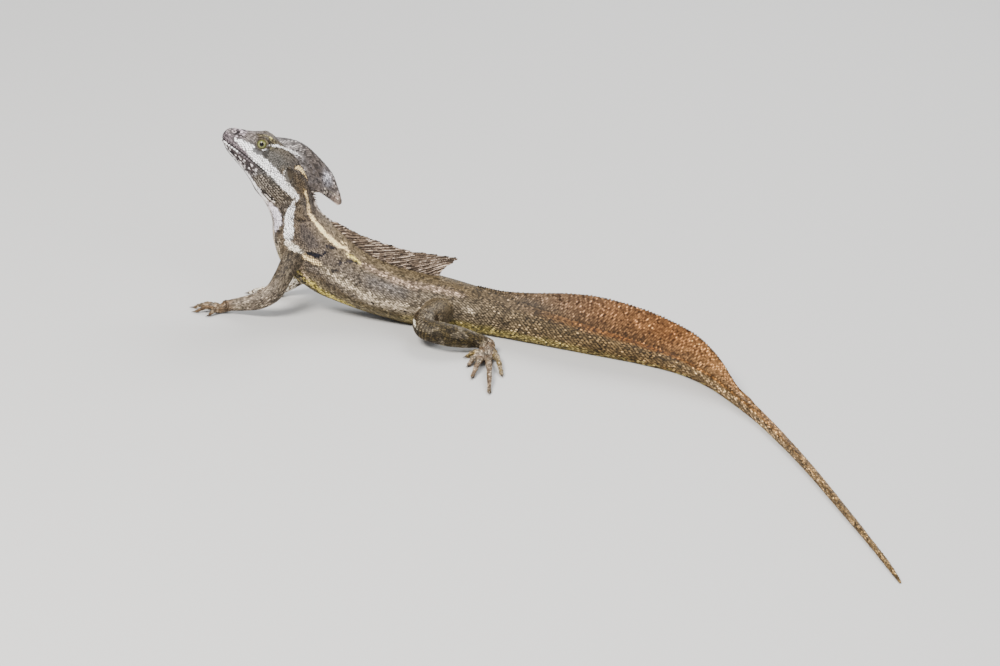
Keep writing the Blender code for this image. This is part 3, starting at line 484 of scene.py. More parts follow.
paints = {name: rgb(*colour) for name, colour in {
    "white": (255, 253, 252), "throatWhite": (232, 224, 232), "throatSpeck": (84, 74, 72),
    "wedge": (170, 156, 136), "cream": (252, 222, 172), "creamPink": (206, 180, 158),
    "bandPale": (202, 185, 160), "yellow": (232, 212, 124), "collarEnd": (240, 230, 212),
    "shoulder": (92, 84, 80), "greyBlue": (140, 138, 142), "blueBlack": (36, 34, 44), "dark": (44, 38, 34),
    "olive": (122, 106, 84), "oliveDark": (92, 78, 56), "tailDot": (198, 178, 120),
    "jawPale": (204, 196, 194), "jawDark": (80, 72, 72), "gularPale": (164, 154, 142),
    "gularDark": (66, 58, 50), "piedPale": (228, 221, 216), "piedDark": (50, 44, 42),
    "snoutPale": (204, 190, 195), "snoutDark": (62, 54, 56), "lipTone": (146, 134, 138),
    "mouthShadeLine": (36, 30, 30), "browFoldHighlight": (164, 154, 120), "browFoldShade": (92, 82, 62),
    "browSpot": (232, 218, 150), "temple": (126, 122, 116), "ear": (150, 135, 114),
    "earRim": (226, 218, 206), "earShade": (92, 82, 70), "earSlitShade": (26, 22, 19), "lidTone": (124, 114, 92),
    "lidRim": (52, 44, 36), "nostrilPitShade": (24, 19, 18), "nostrilRim": (196, 184, 184),
    "crest": (112, 103, 98), "crestFront": (188, 182, 180), "crestPale": (190, 188, 196),
    "crestRim": (160, 150, 146), "crestLow": (198, 186, 172), "crestTip": (180, 160, 148),
    "sail": (150, 131, 114), "sailRayHighlight": (226, 206, 188), "sailGrooveShade": (56, 47, 41),
    "spine": (196, 184, 174), "spineDark": (84, 72, 64), "arm": (114, 102, 87), "forearm": (162, 147, 130),
    "farForearm": (232, 224, 208), "hand": (136, 112, 88), "handSpeckle": (206, 184, 156),
    "thigh": (84, 69, 48), "thighNearLift": (128, 113, 90), "shin": (90, 78, 54), "kneeLine": (244, 234, 212),
    "shinLine": (196, 182, 140), "legPale": (176, 162, 140), "foot": (138, 115, 92),
    "footSpeckle": (212, 194, 170), "toeYellow": (166, 144, 92), "claw": (70, 58, 48),
    "clawPale": (128, 110, 88)}.items()}
# colour, strength, softness and raggedness of the edge, then x, y, z and half width along each mark
templeMark = ("white", 1.0, 0.4, 0.6, [
        (-162.3, -9.7, 107.6, 0.45), (-160.4, -7.6, 107.7, 0.85), (-157.0, -5.2, 107.2, 0.8),
        (-154.3, -4.3, 106.5, 0.7), (-148.9, -2.9, 104.3, 0.7), (-145.6, -2.4, 103.2, 0.75),
        (-143.2, -2.3, 102.0, 0.4)])
underEyeMark = ("white", 1.0, 0.3, 0.3, [
        (-165.9, -10.6, 104.0, 0.5), (-163.9, -9.8, 104.6, 0.75), (-162.3, -9.0, 105.2, 0.5)])
marks = [
    ("olive", 0.75, 3.0, 1.6, [
        (-150.0, -12.0, 93.0, 3.0), (-141.5, -9.1, 88.5, 4.0), (-137.5, -8.3, 80.0, 3.5)]),
    ("olive", 0.6, 2.0, 1.4, [(-139.0, -10.5, 72.0, 3.0), (-136.5, -11.5, 64.5, 3.5)]),
    ("white", 1.0, 0.6, 0.9, [
        (-191.1, -4.0, 104.4, 0.25), (-187.4, -5.1, 99.4, 0.35), (-183.1, -6.3, 95.6, 0.4),
        (-179.4, -6.6, 91.8, 0.6), (-175.8, -8.3, 88.6, 0.9), (-172.0, -9.9, 86.0, 1.2),
        (-168.6, -10.4, 81.8, 1.6), (-165.0, -10.6, 78.0, 1.8), (-159.2, -8.6, 70.6, 2.0)]),
    ("throatWhite", 1.0, 0.8, 1.3, [
        (-158.5, -8.0, 71.5, 1.6), (-155.0, -9.6, 67.5, 2.8), (-152.0, -10.3, 62.8, 3.6),
        (-150.4, -10.4, 57.5, 3.3), (-151.8, -8.6, 53.4, 1.8)]),
    ("gularDark", 0.85, 0.7, 1.2, [
        (-149.6, -11.8, 68.0, 0.8), (-147.8, -12.2, 63.5, 0.7), (-148.0, -12.0, 57.5, 0.4),
        (-148.8, -11.4, 53.0, 1.2), (-150.6, -9.2, 47.6, 2.0), (-150.0, -9.4, 44.0, 1.8)]),
    ("cream", 0.9, 0.4, 0.6, [
        (-153.2, -6.4, 51.0, 0.35), (-153.4, -6.0, 47.0, 0.4), (-151.6, -6.4, 41.5, 0.35)]),
    ("bandPale", 0.85, 2.6, 2.2, [
        (-123.8, -17.6, 37.2, 1.2), (-113.4, -18.3, 31.6, 2.6), (-96.4, -18.4, 22.8, 2.9),
        (-84.6, -18.1, 18.0, 2.9), (-72.1, -17.3, 15.4, 2.8), (-62.7, -16.4, 14.8, 2.6),
        (-54.0, -15.7, 14.6, 1.6)]),
    ("oliveDark", 0.8, 1.8, 1.6, [
        (-133.0, -15.4, 33.6, 1.2), (-119.0, -17.6, 26.6, 1.6), (-103.0, -17.8, 18.0, 1.7),
        (-86.0, -16.6, 11.6, 1.7), (-66.0, -15.4, 8.6, 1.6)]),
    ("yellow", 1.0, 1.6, 2.8, [
        (-133.0, -16.4, 28.6, 1.6), (-127.0, -16.3, 23.2, 2.3), (-119.0, -16.0, 18.0, 2.5),
        (-106.5, -14.6, 12.4, 2.0), (-97.0, -14.0, 8.6, 1.2)]),
    ("creamPink", 0.8, 1.2, 3.6, [
        (-133.8, -18.0, 32.2, 1.2), (-130.4, -16.8, 27.6, 1.6), (-126.5, -16.6, 24.6, 1.0)]),
    ("greyBlue", 0.38, 5.0, 3.0, [(-86.0, -15.4, 29.6, 3.6), (-66.0, -14.8, 24.6, 3.2)]),
    ("creamPink", 0.8, 2.0, 2.2, [
        (-96.0, -10.9, 38.9, 1.1), (-82.8, -11.0, 33.9, 1.6), (-69.6, -11.6, 29.8, 1.7),
        (-58.5, -11.0, 28.2, 1.9), (-46.7, -9.7, 27.6, 1.8), (-35.0, -8.6, 26.6, 1.6),
        (-27.0, -8.8, 25.4, 0.8)]),
    ("bandPale", 0.6, 2.0, 2.2, [(-24.5, -12.4, 17.6, 2.6), (-18.0, -11.4, 16.4, 1.8)]),
    ("white", 1.0, 0.55, 0.8, [
        (-183.6, -6.4, 108.0, 0.6), (-180.4, -7.2, 106.8, 1.8), (-177.3, -8.1, 105.6, 2.4),
        (-174.0, -9.1, 104.2, 2.7), (-171.2, -10.4, 101.9, 2.8), (-168.1, -11.5, 99.6, 2.8),
        (-162.9, -12.3, 96.4, 2.9), (-157.2, -13.5, 92.0, 3.1), (-151.5, -13.5, 87.6, 3.0),
        (-146.8, -12.5, 82.6, 2.8), (-142.4, -11.3, 78.2, 2.1), (-140.0, -10.3, 76.8, 1.2)]),
    ("white", 0.95, 0.5, 0.7, [
        (-139.6, -10.3, 76.5, 1.0), (-141.4, -11.1, 74.2, 0.7), (-143.6, -11.8, 70.7, 0.6),
        (-145.0, -11.9, 66.6, 0.7), (-146.4, -12.1, 62.0, 0.6)]),
    ("white", 1.0, 0.6, 0.8, [
        (-142.6, -11.6, 70.4, 1.6), (-143.7, -12.1, 62.9, 2.5), (-143.2, -13.0, 56.5, 3.0),
        (-142.6, -13.7, 50.4, 2.9)]),
    ("collarEnd", 0.9, 0.8, 0.9, [
        (-142.6, -14.1, 46.0, 2.2), (-139.6, -15.1, 44.6, 2.2), (-135.8, -17.3, 43.4, 1.8),
        (-132.9, -17.5, 42.2, 1.2)]),
    ("cream", 1.0, 0.7, 1.0, [
        (-131.6, -17.0, 40.3, 1.2), (-125.6, -17.4, 38.6, 1.9), (-120.4, -17.8, 36.2, 1.2)]),
    templeMark, underEyeMark,
    ("cream", 1.0, 0.5, 0.6, [
        (-143.6, -6.8, 95.2, 1.0), (-141.0, -5.6, 94.9, 1.5), (-138.6, -4.3, 92.0, 1.5),
        (-136.2, -3.2, 88.6, 1.0), (-134.0, -3.1, 85.2, 0.5)]),
    ("cream", 1.0, 0.5, 0.8, [
        (-137.6, -7.0, 82.6, 0.5), (-135.8, -7.0, 79.8, 0.75), (-134.2, -6.9, 75.0, 0.75),
        (-133.0, -6.9, 71.2, 0.9), (-131.2, -8.0, 65.7, 1.1), (-127.4, -8.8, 61.4, 1.25),
        (-121.3, -9.9, 55.9, 1.45), (-116.6, -10.4, 52.2, 1.6), (-110.8, -10.2, 48.5, 1.6),
        (-107.3, -9.4, 47.2, 1.0)]),
    ("cream", 0.8, 0.9, 2.4, [
        (-107.9, -7.5, 49.1, 1.0), (-105.4, -8.5, 46.4, 1.2), (-103.1, -10.4, 43.0, 1.2)]),
    ("yellow", 0.7, 0.8, 1.6, [
        (-103.0, -10.6, 43.2, 0.8), (-99.1, -10.7, 40.7, 1.2), (-95.6, -11.1, 38.5, 1.0)]),
    ("blueBlack", 1.0, 0.5, 1.6, [
        (-129.6, -16.8, 42.6, 1.1), (-123.6, -17.0, 41.2, 1.8), (-118.0, -15.8, 43.3, 1.1)]),
    ("blueBlack", 0.9, 0.8, 2.4, [
        (-118.6, -13.5, 47.4, 0.7), (-116.2, -13.2, 47.8, 1.2), (-112.6, -12.9, 46.3, 0.9)]),
    ("blueBlack", 0.85, 0.9, 2.6, [
        (-107.6, -14.8, 38.2, 1.0), (-103.4, -13.4, 39.2, 1.3), (-97.1, -12.1, 38.1, 0.7)]),
    ("blueBlack", 0.85, 0.7, 2.0, [(-112.0, -17.8, 32.6, 0.8), (-109.0, -17.8, 34.0, 0.9)]),
    ("dark", 0.75, 0.8, 2.0, [(-98.6, -17.6, 25.6, 0.6), (-93.6, -17.4, 27.4, 0.9)]),
    # dark line along a neck crease: painted shade in the fold
    ("dark", 0.9, 0.5, 1.0, [
        (-141.3, -12.2, 62.3, 0.35), (-135.7, -11.7, 61.3, 0.6), (-130.4, -9.5, 62.0, 0.3)]),
    # dark line along a neck crease: painted shade in the fold
    ("dark", 0.85, 0.4, 0.6, [
        (-145.2, -13.4, 48.4, 0.45), (-141.8, -14.2, 48.9, 0.5), (-138.6, -14.5, 49.6, 0.4)]),
    ("dark", 0.8, 0.6, 1.6, [(-163.6, -11.6, 100.6, 0.7), (-161.4, -11.6, 101.4, 0.6)]),
    ("dark", 0.7, 0.5, 1.8, [
        (-182.6, -4.6, 110.6, 0.4), (-179.4, -5.2, 110.2, 0.6), (-176.0, -5.6, 109.4, 0.4)])]
# places of areas that are coloured by their distance: x, y, z and half width
shoulderLine = [
    (-134.5, -12.5, 58.6, 2.0), (-131.5, -14.0, 53.0, 4.2), (-127.5, -15.0, 49.0, 3.8),
    (-124.5, -14.8, 47.9, 2.0)]
gularLine = [(-163.5, -13.6, 84.5, 0), (-148.0, -12.6, 73.5, 1.0)]
throatLine = [(-158.4, -8.6, 69.3, 1), (-153.3, -8.8, 62.0, 1), (-151.5, -8.0, 54, 1)]
piedLine = [(-163.8, -12.8, 79.4, 0.5), (-158.3, -12.3, 75.0, 1.3), (-155.1, -12.1, 72.8, 1.4)]
wedgeLine = [(-148.6, -11.4, 55.4, 0.6), (-149.4, -10.8, 46.0, 1.8)]
chestLine = [(-133, -14, 25, 0), (-108, -13.5, 12, 0)]
earSlitLine = [(-146.2, -12.5, 85.0, 0.25), (-145.2, -12.0, 88.5, 0.35)]
crestLines = [
    ("crestLow", 0.95, 0.3, 0.3, [
        (-132.9, -0.6, 80.9, 0.5), (-129.6, -0.7, 80.8, 0.5), (-126.2, -1.2, 81.2, 0.5),
        (-123.0, -1.2, 81.9, 0.5), (-121.5, -1.2, 83.0, 0.4)]),
    ("crestLow", 0.95, 0.3, 0.3, [
        (-131.4, -0.4, 78.6, 0.5), (-127.4, -1.0, 78.6, 0.5), (-123.4, -1.2, 79.1, 0.5),
        (-121.3, -1.2, 80.5, 0.4), (-118.5, -1.0, 79.6, 0.4), (-116.0, -0.9, 77.5, 0.4),
        (-114.2, -0.8, 75.6, 0.3)])]
# small black dots low on the flank
specks = [
    (-83.9, -18.0, 15.2), (-69.4, -16.9, 12.0), (-72.3, -16.0, 8.8), (-78.4, -17.4, 12.4),
    (-63.0, -16.4, 11.6), (-103.0, -17.6, 22.4), (-118.0, -16.6, 22.0), (-124.6, -16.4, 24.4)]


# distance to a line of points less its half width there, by the nearest stretch, both sides of the body alike
def lineGap(p, rows):
    p = np.c_[p[:, 0], -np.abs(p[:, 1]), p[:, 2]]
    rows = np.asarray(rows, float)
    best = np.full(len(p), 99.0)
    for a, b in zip(rows[:-1], rows[1:]):
        step = b[:3] - a[:3]
        share = np.clip((p - a[:3]) @ step / (step @ step), 0, 1)
        gap = np.linalg.norm(p - a[:3] - share[:, None] * step, axis=1) - (a[3] + (b[3] - a[3]) * share)
        best = np.minimum(best, gap)
    return best


# base where the mask is 0, colour where it is 1
def mixIn(base, colour, mask):
    return base * (1 - mask[:, None]) + colour * mask[:, None]


# adds one mark: full inside the line's width, fading over the soft edge, which noise makes ragged
def drawMark(col, p, mark):
    name, strength, soft, ragged, rows = mark
    wobble = ragged * (noise(p, 1.7, 8) + noise(p, 0.8, 10) - 1)
    return mixIn(col, paints[name], strength * smooth(soft, -soft, lineGap(p, rows) + wobble))


# slanted lines along the tail: painted keel highlights as pale dots, painted shade as dark gaps between rows
def keelLightStrokes(col, p, t, high):
    wave = np.sin(tau * (0.87 * t - 0.5 * high) / 2.4 + 1.8 * noise(p, 5, 63))
    mottle = 1 + 0.36 * (noise(p, 6.0, 62) - 0.5) + 1.7 * (noise(p, 1.0, 64) - 0.5)
    return col * (1 + 0.40 * wave)[:, None] * np.clip(mottle, 0.3, 2)[:, None]


# 1 on the smooth grey area between the eye, the ear and the cheek stripe
def templeArea(f, u):
    return np.clip(1.6 * bump(f, u, (-13.5, -3.0), (8.0, 5.0)), 0, 1)


# 1 where the scales differ little from each other: the temple, the rows below the cheek and the shoulder
def calmAt(p):
    area = np.maximum(templeArea(*headPlace(p)), 0.75 * smooth(6.0, 4.5, lineGap(p, gularLine)))
    return np.maximum(area, 0.6 * smooth(1.5, -0.5, lineGap(p, shoulderLine)))


# one row of tones read along the trunk
def toneAt(x, key):
    return np.stack([np.interp(x, tones["places"], [rgb(*c)[i] for c in tones[key]]) for i in range(3)], 1)


# how far from the ear's middle, 1 at its rim, and the share forward across it, with its long axis leaning
def earPlace(f, u):
    df, du = f - head["ear"][0], u - head["ear"][1]
    along, across = df * 0.86 + du * 0.51, df * 0.51 - du * 0.86
    return np.hypot(along / head["earSize"][1], across / head["earSize"][0]), across / head["earSize"][0]


# what the steps of the trunk's colour share: x, the cosine round the body, and the place on the head
class Place:
    def __init__(self, p, t, a):
        self.p, self.t, self.round = p, t, np.cos(a)
        self.x = np.interp(t, trunk.knots, trunkRows[:, 0])
        self.height = self.round + 0.18 * (noise(p, 5, 1) - 0.5)
        self.side = np.abs(p[:, 1])
        self.f, self.u = headPlace(p)
        self.aboveMouth = self.u - mouthHeight(self.f)
        self.onHead = smooth(neckT + 2, neckT - 4, t)
        self.temple = self.onHead * templeArea(self.f, self.u)


# back, side, low and belly tones by the height round the body
def bandPaint(w):
    col = mixIn(toneAt(w.x, "back"), toneAt(w.x, "side"), smooth(0.75, 0.35, w.height))
    col = mixIn(col, toneAt(w.x, "low"), smooth(-0.25, -0.6, w.height))
    throatward = smooth(-146, -152, w.x)
    return mixIn(col, toneAt(w.x, "belly"), smooth(-0.72, -0.9, w.height + 0.14 * throatward))


# the jaw mottled black and pale, then rows of gular scales
def jawPaint(col, w):
    jaw = w.onHead * smooth(0.3, -0.6, w.aboveMouth) * smooth(-0.975, -0.93, w.round)
    spots = smooth(0.36, 0.47, noise(w.p, 1.2, 3) * 0.5 + noise(w.p, 0.75, 4) * 0.5)
    col = mixIn(col, mixIn(paints["jawPale"], paints["jawDark"], spots), jaw * smooth(-16, -4, w.f))
    rowWave = np.sin(tau * (w.p[:, [0, 2]] @ [0.72, 0.69]) / 1.45 + 1.2 * noise(w.p, 3, 15))
    rows = smooth(0.25, 0.75, 0.5 + 0.5 * rowWave)
    gular = smooth(6.5, 4.5, lineGap(w.p, gularLine)) * smooth(-0.88, -0.74, w.round)
    return mixIn(col, mixIn(paints["gularDark"], paints["gularPale"], rows), gular * w.onHead * 0.9)


# snout top paler and flecked, lip grey, brow arcs of painted fold highlight and shade, temple a plain grey
def snoutPaint(col, w):
    p, f, u = w.p, w.f, w.u
    snout = w.onHead * smooth(9, 15, f) * smooth(-12.5, -10, u - 0.25 * (f - 18))
    fleck = smooth(0.47, 0.56, 0.6 * noise(p, 1.5, 5) + 0.4 * noise(p, 0.9, 9))
    col = mixIn(col, mixIn(paints["snoutPale"], paints["snoutDark"], fleck), snout * 0.95)
    lip = w.onHead * smooth(4.4, 2.6, np.abs(w.aboveMouth - 2.2)) * smooth(-8, 2, f)
    streak = 0.8 + 0.5 * noise(np.stack([f / 3, w.aboveMouth * 1.6, w.side / 3], 1), 1.0, 19)
    col = mixIn(col, paints["lipTone"] * streak[:, None], lip * 0.92)
    fromEye = np.hypot(f + 0.3, u + 1.6)
    # round the eye, pale arcs are painted highlights on the brow's folds and dark ones painted shade between
    # them
    arcs = smooth(0.2, 0.9, np.sin(tau * fromEye / 1.75 + 1.5 * noise(p, 3, 16)))
    brow = w.onHead * smooth(9.6, 7.8, fromEye) * smooth(-1.6, 0.4, u) * smooth(2.0, 4.0, w.side)
    col = mixIn(col, mixIn(paints["browFoldShade"], paints["browFoldHighlight"], arcs), brow * smooth(-8.0, -6.0, f) * 0.85)
    spot = smooth(1.0, 0.5, np.hypot(f + 1.2, (u - 4.2) * 1.2)) * w.onHead * smooth(2, 4, w.side)
    col = mixIn(col, paints["browSpot"], spot)
    return mixIn(col, paints["temple"] * (0.92 + 0.2 * noise(p, 2.4, 18))[:, None], w.temple * 0.9)


# dark specks at the white throat's edge, and the shoulder's own tone
def throatPaint(col, w):
    throat = smooth(3.5, 1.5, lineGap(w.p, throatLine)) * smooth(0.60, 0.68, noise(w.p, 1.6, 11))
    col = mixIn(col, paints["throatSpeck"], throat * 0.8)
    shoulder = smooth(2.0, -1.5, lineGap(w.p, shoulderLine) + 1.4 * (noise(w.p, 2.2, 27) - 0.5))
    return mixIn(col, paints["shoulder"] * (0.9 + 0.25 * noise(w.p, 1.8, 28))[:, None], shoulder * 0.8)


# spots where the rows end at the throat, pale ones between throat and collar, and flecks on the white lines
def piedPaint(col, w):
    pied = mixIn(paints["piedPale"], paints["piedDark"], smooth(0.46, 0.54, noise(w.p, 1.15, 29)))
    col = mixIn(col, pied, smooth(0.7, -0.3, lineGap(w.p, piedLine)) * w.onHead)
    wedge = smooth(1.0, 0.0, lineGap(w.p, wedgeLine)) * smooth(0.5, 0.58, noise(w.p, 1.3, 30))
    col = mixIn(col, paints["wedge"], wedge * 0.85)
    dusty = smooth(0.60, 0.72, noise(w.p, 1.1, 17)) * smooth(-166, -156, w.p[:, 0]) * w.onHead
    col = col * (1 - 0.32 * dusty)[:, None]
    return mixIn(col, col * [1.0, 0.95, 0.87], smooth(-156, -144, w.x) * w.onHead)


# black specks, broad soft clouds, and curved folds behind the shoulder darkened as painted shade
def flankPaint(col, w):
    p, x, height = w.p, w.x, w.height
    for x0, y0, z0 in specks:
        gap = np.sqrt((p[:, 0] - x0) ** 2 + (w.side + y0) ** 2 + (p[:, 2] - z0) ** 2)
        col = mixIn(col, paints["dark"], smooth(0.9, 0.5, gap))
    chest = smooth(7, 3, lineGap(p, chestLine)) * smooth(0.62, 0.70, noise(p, 1.5, 6))
    col = mixIn(col, paints["dark"], chest * 0.85)
    clouds = 0.22 * (noise(p, 9, 12) - 0.5) + 0.30 * (noise(p, 3.2, 14) - 0.5)
    onBack = 0.45 * smooth(0.35, 0.7, height) * smooth(-132, -120, x) * (noise(p, 1.7, 26) - 0.5)
    col = col * (1 + (1 - 0.7 * w.temple) * (clouds + onBack))[:, None]
    # curved fold lines darkened as painted shade in their creases
    folds = np.sin(tau * (p[:, 0] + 0.35 * p[:, 2] - 0.012 * (p[:, 2] - 24) ** 2) / 3.4)
    zone = smooth(-108, -96, x) * smooth(-78, -88, x) * smooth(0.8, 0.5, height) * smooth(-0.4, 0.0, height)
    return col * (1 - 0.30 * smooth(0.4, 1, folds) * zone)[:, None]


# painted keel strokes, a dotted low edge in painted shade, a top strip in painted shade warmed like the sail
def tailPaint(col, w):
    onTail = smooth(-40, 0, w.x)[:, None]
    col = col * (1 - onTail) + keelLightStrokes(col, w.p, w.t, 10 * w.round) * onTail
    dots = smooth(-0.1, 0.5, np.sin(tau * w.t / 1.8 + 1.5 * (noise(w.p, 2.0, 31) - 0.5)))
    # the low edge darkened to 0.7 as painted shade from below, with pale dots on it
    lowEdge = smooth(-0.42, -0.6, w.round) * smooth(-10, 15, w.x) * smooth(215, 180, w.x)
    col = mixIn(col, mixIn(col * 0.7, paints["tailDot"], dots), lowEdge * 0.75)
    # the upward-facing top darkened as painted shade against the light from above, and warmed like the sail
    strip = smooth(0.3, 0.75, w.round) * smooth(0, 40, w.x) * smooth(200, 150, w.x)
    return mixIn(col, col * [0.94, 0.76, 0.55], strip)


# a pale line along the lower lip's front, and the closed mouth's groove as a dark line of painted shade
def mouthPaint(col, w):
    onLip = smooth(0.5, 0.2, np.abs(w.aboveMouth + 1.0)) * w.onHead * smooth(6, 9, w.f)
    col = mixIn(col, paints["white"], onLip * 0.8)
    corner = head["mouthCorner"][0]
    # the mouth's groove darkened as painted shade
    mouth = w.onHead * smooth(0.7, 0.25, np.abs(w.aboveMouth - 0.15))
    return mixIn(col, paints["mouthShadeLine"], mouth * smooth(corner - 0.5, corner + 0.5, w.f) * 0.9)


# ear: painted shade on the hollow's wall and in its slit, a pale crescent on the front rim
def earPaint(col, w):
    ear, ahead = earPlace(w.f, w.u)
    onEar = w.onHead * (w.side > 5)
    # painted shade round the ear's hollow
    col = mixIn(col, paints["earShade"], smooth(1.4, 1.15, ear) * onEar)
    drum = paints["ear"] * (0.7 + 0.6 * noise(w.p, 1.2, 33))[:, None]
    col = mixIn(col, drum, smooth(1.0, 0.8, ear) * onEar)
    # the slit painted dark as its shade
    col = mixIn(col, paints["earSlitShade"], smooth(0.7, 0.1, lineGap(w.p, earSlitLine)) * onEar)
    crescent = smooth(0.55, 0.35, np.abs(ear - 0.9)) * smooth(0.05, 0.45, ahead)
    return mixIn(col, paints["earRim"], crescent * onEar)


# tones by place along the trunk and height round it, then the marks, then mottling and fine lines over them
def trunkColour(p, t, a):
    w = Place(p, t, a)
    col = throatPaint(snoutPaint(jawPaint(bandPaint(w), w), w), w)
    for mark in marks:
        col = drawMark(col, p, mark)
    for paint in (piedPaint, flankPaint, tailPaint, mouthPaint, earPaint):
        col = paint(col, w)
    return col


kneeLine = [(-56.0, -37.6, 15.4, 0.3), (-54.2, -42.0, 14.8, 0.7), (-51.4, -46.6, 12.6, 0.3)]
shinLines = [[(-38.5, -43.2, 18.2, 0.3), (-25.5, -40.4, 15.8, 0.3), (-13.5, -35.6, 11.0, 0.3)],
             [(-36.0, -48.6, 5.0, 0.4), (-25.5, -45.2, 3.2, 0.5), (-14.5, -39.0, 2.6, 0.4)]]


# tones by the reach along the leg, 1 at the ankle, mottled pale and dark, with the marks that run onto it
def legColour(p, name, reach, digit):
    fore = "fore" in name
    root, middle, paw, strength = ("arm", "forearm", "hand", 0.35) if fore else ("thigh", "shin", "foot", 0.5)
    col = mixIn(paints[root], paints[middle], smooth(0.4, 0.55, reach))
    col = mixIn(col, paints[paw], smooth(0.88, 1.06, reach))
    if not fore and digit in (1, 5):
        col = mixIn(col, paints["toeYellow"], smooth(1.0, 1.2, reach) * 0.7)
    speckle = smooth(1.0, 1.1, reach) * smooth(0.5, 0.62, noise(p, 1.3, 25))
    col = mixIn(col, paints[paw + "Speckle"], speckle * 0.5)
    col = mixIn(col, paints["legPale"], smooth(0.54, 0.66, noise(p, 3.8, 21)) * strength)
    mottle = smooth(0.52, 0.66, noise(p, 2.2, 22))
    col = mixIn(col, paints["dark"], mottle * strength * smooth(1.3, 1.0, reach))
    if name == "foreleg_right":
        pale = smooth(0.40, 0.52, reach) * smooth(0.62, 0.5, noise(p, 1.4, 24))
        col = mixIn(col, paints["farForearm"], pale * 0.85)
    if fore:
        for mark in marks:
            if mark[0] in ("collarEnd", "cream"):
                col = drawMark(col, p, mark)
    else:
        # lighter near the body, pale lines at the knee's front and along the shin's upper and lower edges
        # the near side is paler skin, lifted further as painted light against the shade in the pocket by the
        # hip
        near = smooth(36, 27, np.abs(p[:, 1])) * smooth(0.5, 0.4, reach)
        col = mixIn(col, paints["thighNearLift"] * (0.75 + 0.5 * noise(p, 1.8, 34))[:, None], near * 0.85)
        ragged = 1.6 * (noise(p, 1.5, 32) - 0.5)
        col = mixIn(col, paints["kneeLine"], smooth(1.3, 0.3, lineGap(p, kneeLine)))
        for line in shinLines:
            col = mixIn(col, paints["shinLine"], smooth(1.1, 0.2, lineGap(p, line) + ragged) * 0.75)
    return col * (1 + 0.28 * (noise(p, 6, 23) - 0.5))[:, None]


# node materials

# a socket that can be added, subtracted, multiplied and scaled
class Wire:
    def __init__(self, graph, socket):
        self.graph, self.socket = graph, socket

    def combine(self, operation, a, b):
        return self.graph.node("ShaderNodeMath", {"operation": operation}, {0: a, 1: b})

    def __add__(self, other):
        return self.combine("ADD", self, other)

    def __radd__(self, other):
        return self.combine("ADD", other, self)

    def __sub__(self, other):
        return self.combine("SUBTRACT", self, other)

    def __mul__(self, other):
        return self.combine("MULTIPLY", self, other)

    def scaled(self, factor):
        return self.graph.node("ShaderNodeVectorMath", {"operation": "SCALE"}, {0: self, 3: factor})


# a material's nodes, each made with its settings and inputs in one call
class Graph:
    def __init__(self, name):
        self.material = bpy.data.materials.new(name)
        self.material.use_nodes = True
        self.tree = self.material.node_tree
        self.shader = self.tree.nodes["Principled BSDF"]

    def node(self, kind, settings=None, inputs=None, output=0):
        made = self.tree.nodes.new(kind)
        for key, value in (settings or {}).items():
            setattr(made, key, value)
        for key, value in (inputs or {}).items():
            self.put(made.inputs[key], value)
        return Wire(self, made.outputs[output])

    def put(self, socket, value):
        if isinstance(value, Wire):
            self.tree.links.new(value.socket, socket)
        else:
            socket.default_value = value

    def set(self, **inputs):
        for key, value in inputs.items():
            self.put(self.shader.inputs[key.replace("_", " ")], value)


# attribute colour varied by two noises; a bump of fine grain
def skinMaterial(name, roughness, grain, coat=0.0, vary=0.22, sheen=0.14):
    g = Graph(name)
    tint = g.node("ShaderNodeAttribute", {"attribute_name": "tint"})
    where = g.node("ShaderNodeTexCoord", output=3)
    broad, tiny = (
        g.node("ShaderNodeTexNoise", {}, {
            "Vector": where, "Scale": scale, "Detail": detail, "Roughness": 0.6})
        for scale, detail in ((420.0, 3.0), (2600.0, 2.0)))
    value = (broad - 0.5) * vary + (tiny - 0.5) * vary * 0.7 + 1.0
    bumpy = g.node("ShaderNodeBump", {}, {"Height": tiny, "Strength": grain, "Distance": 0.00012})
    g.set(Base_Color=tint.scaled(value), Roughness=roughness + (broad - 0.5) * 0.25, Normal=bumpy)
    g.set(Specular_IOR_Level=sheen)
    if coat:
        g.set(Coat_Weight=coat, Coat_Roughness=0.35)
    return g.material


materials = {
    "skin": skinMaterial("skin_look", 0.62, 0.5),
    "scales": skinMaterial("scale_look", 0.5, 0.35),
    "crest": skinMaterial("crest_look", 0.45, 0.3, 0.05, 0.25),
    "claw": skinMaterial("claw_look", 0.3, 0.15, 0.3, 0.15, sheen=0.5),
    "eye": skinMaterial("eye_look", 0.12, 0.0, 0.55, 0.08, sheen=0.1)}
eyeShader = materials["eye"].node_tree.nodes["Principled BSDF"]
eyeShader.inputs["Coat Roughness"].default_value = 0.02
eyeShader.inputs["Coat IOR"].default_value = 1.38


# the map: each part has its own rectangle

# a place in a box of the map, from shares across and up it
def rectangle(u, v, box):
    x0, y0, wide, tall = box
    return np.stack([x0 + np.clip(u, -0.02, 1.02) * wide, y0 + np.clip(v, -0.02, 1.02) * tall], -1)


legOrder = list(legs)


# the trunk's box before the vent or behind it, by place along and turn round
def trunkMap(t, a):
    turn = (a / tau) % 1.0
    fore = rectangle(t / ventT, turn, (0.01, 0.53, 0.98, 0.46))
    aft = rectangle((t - ventT) / (trunk.length - ventT), turn, (0.01, 0.28, 0.98, 0.22))
    return np.where((t < ventT)[..., None], fore, aft)


# a leg's box, by place along and turn round
def legMap(name, t, a):
    box = (0.01 + 0.247 * legOrder.index(name), 0.155, 0.235, 0.10)
    return rectangle(t / legs[name].length, (a / tau) % 1.0, box)


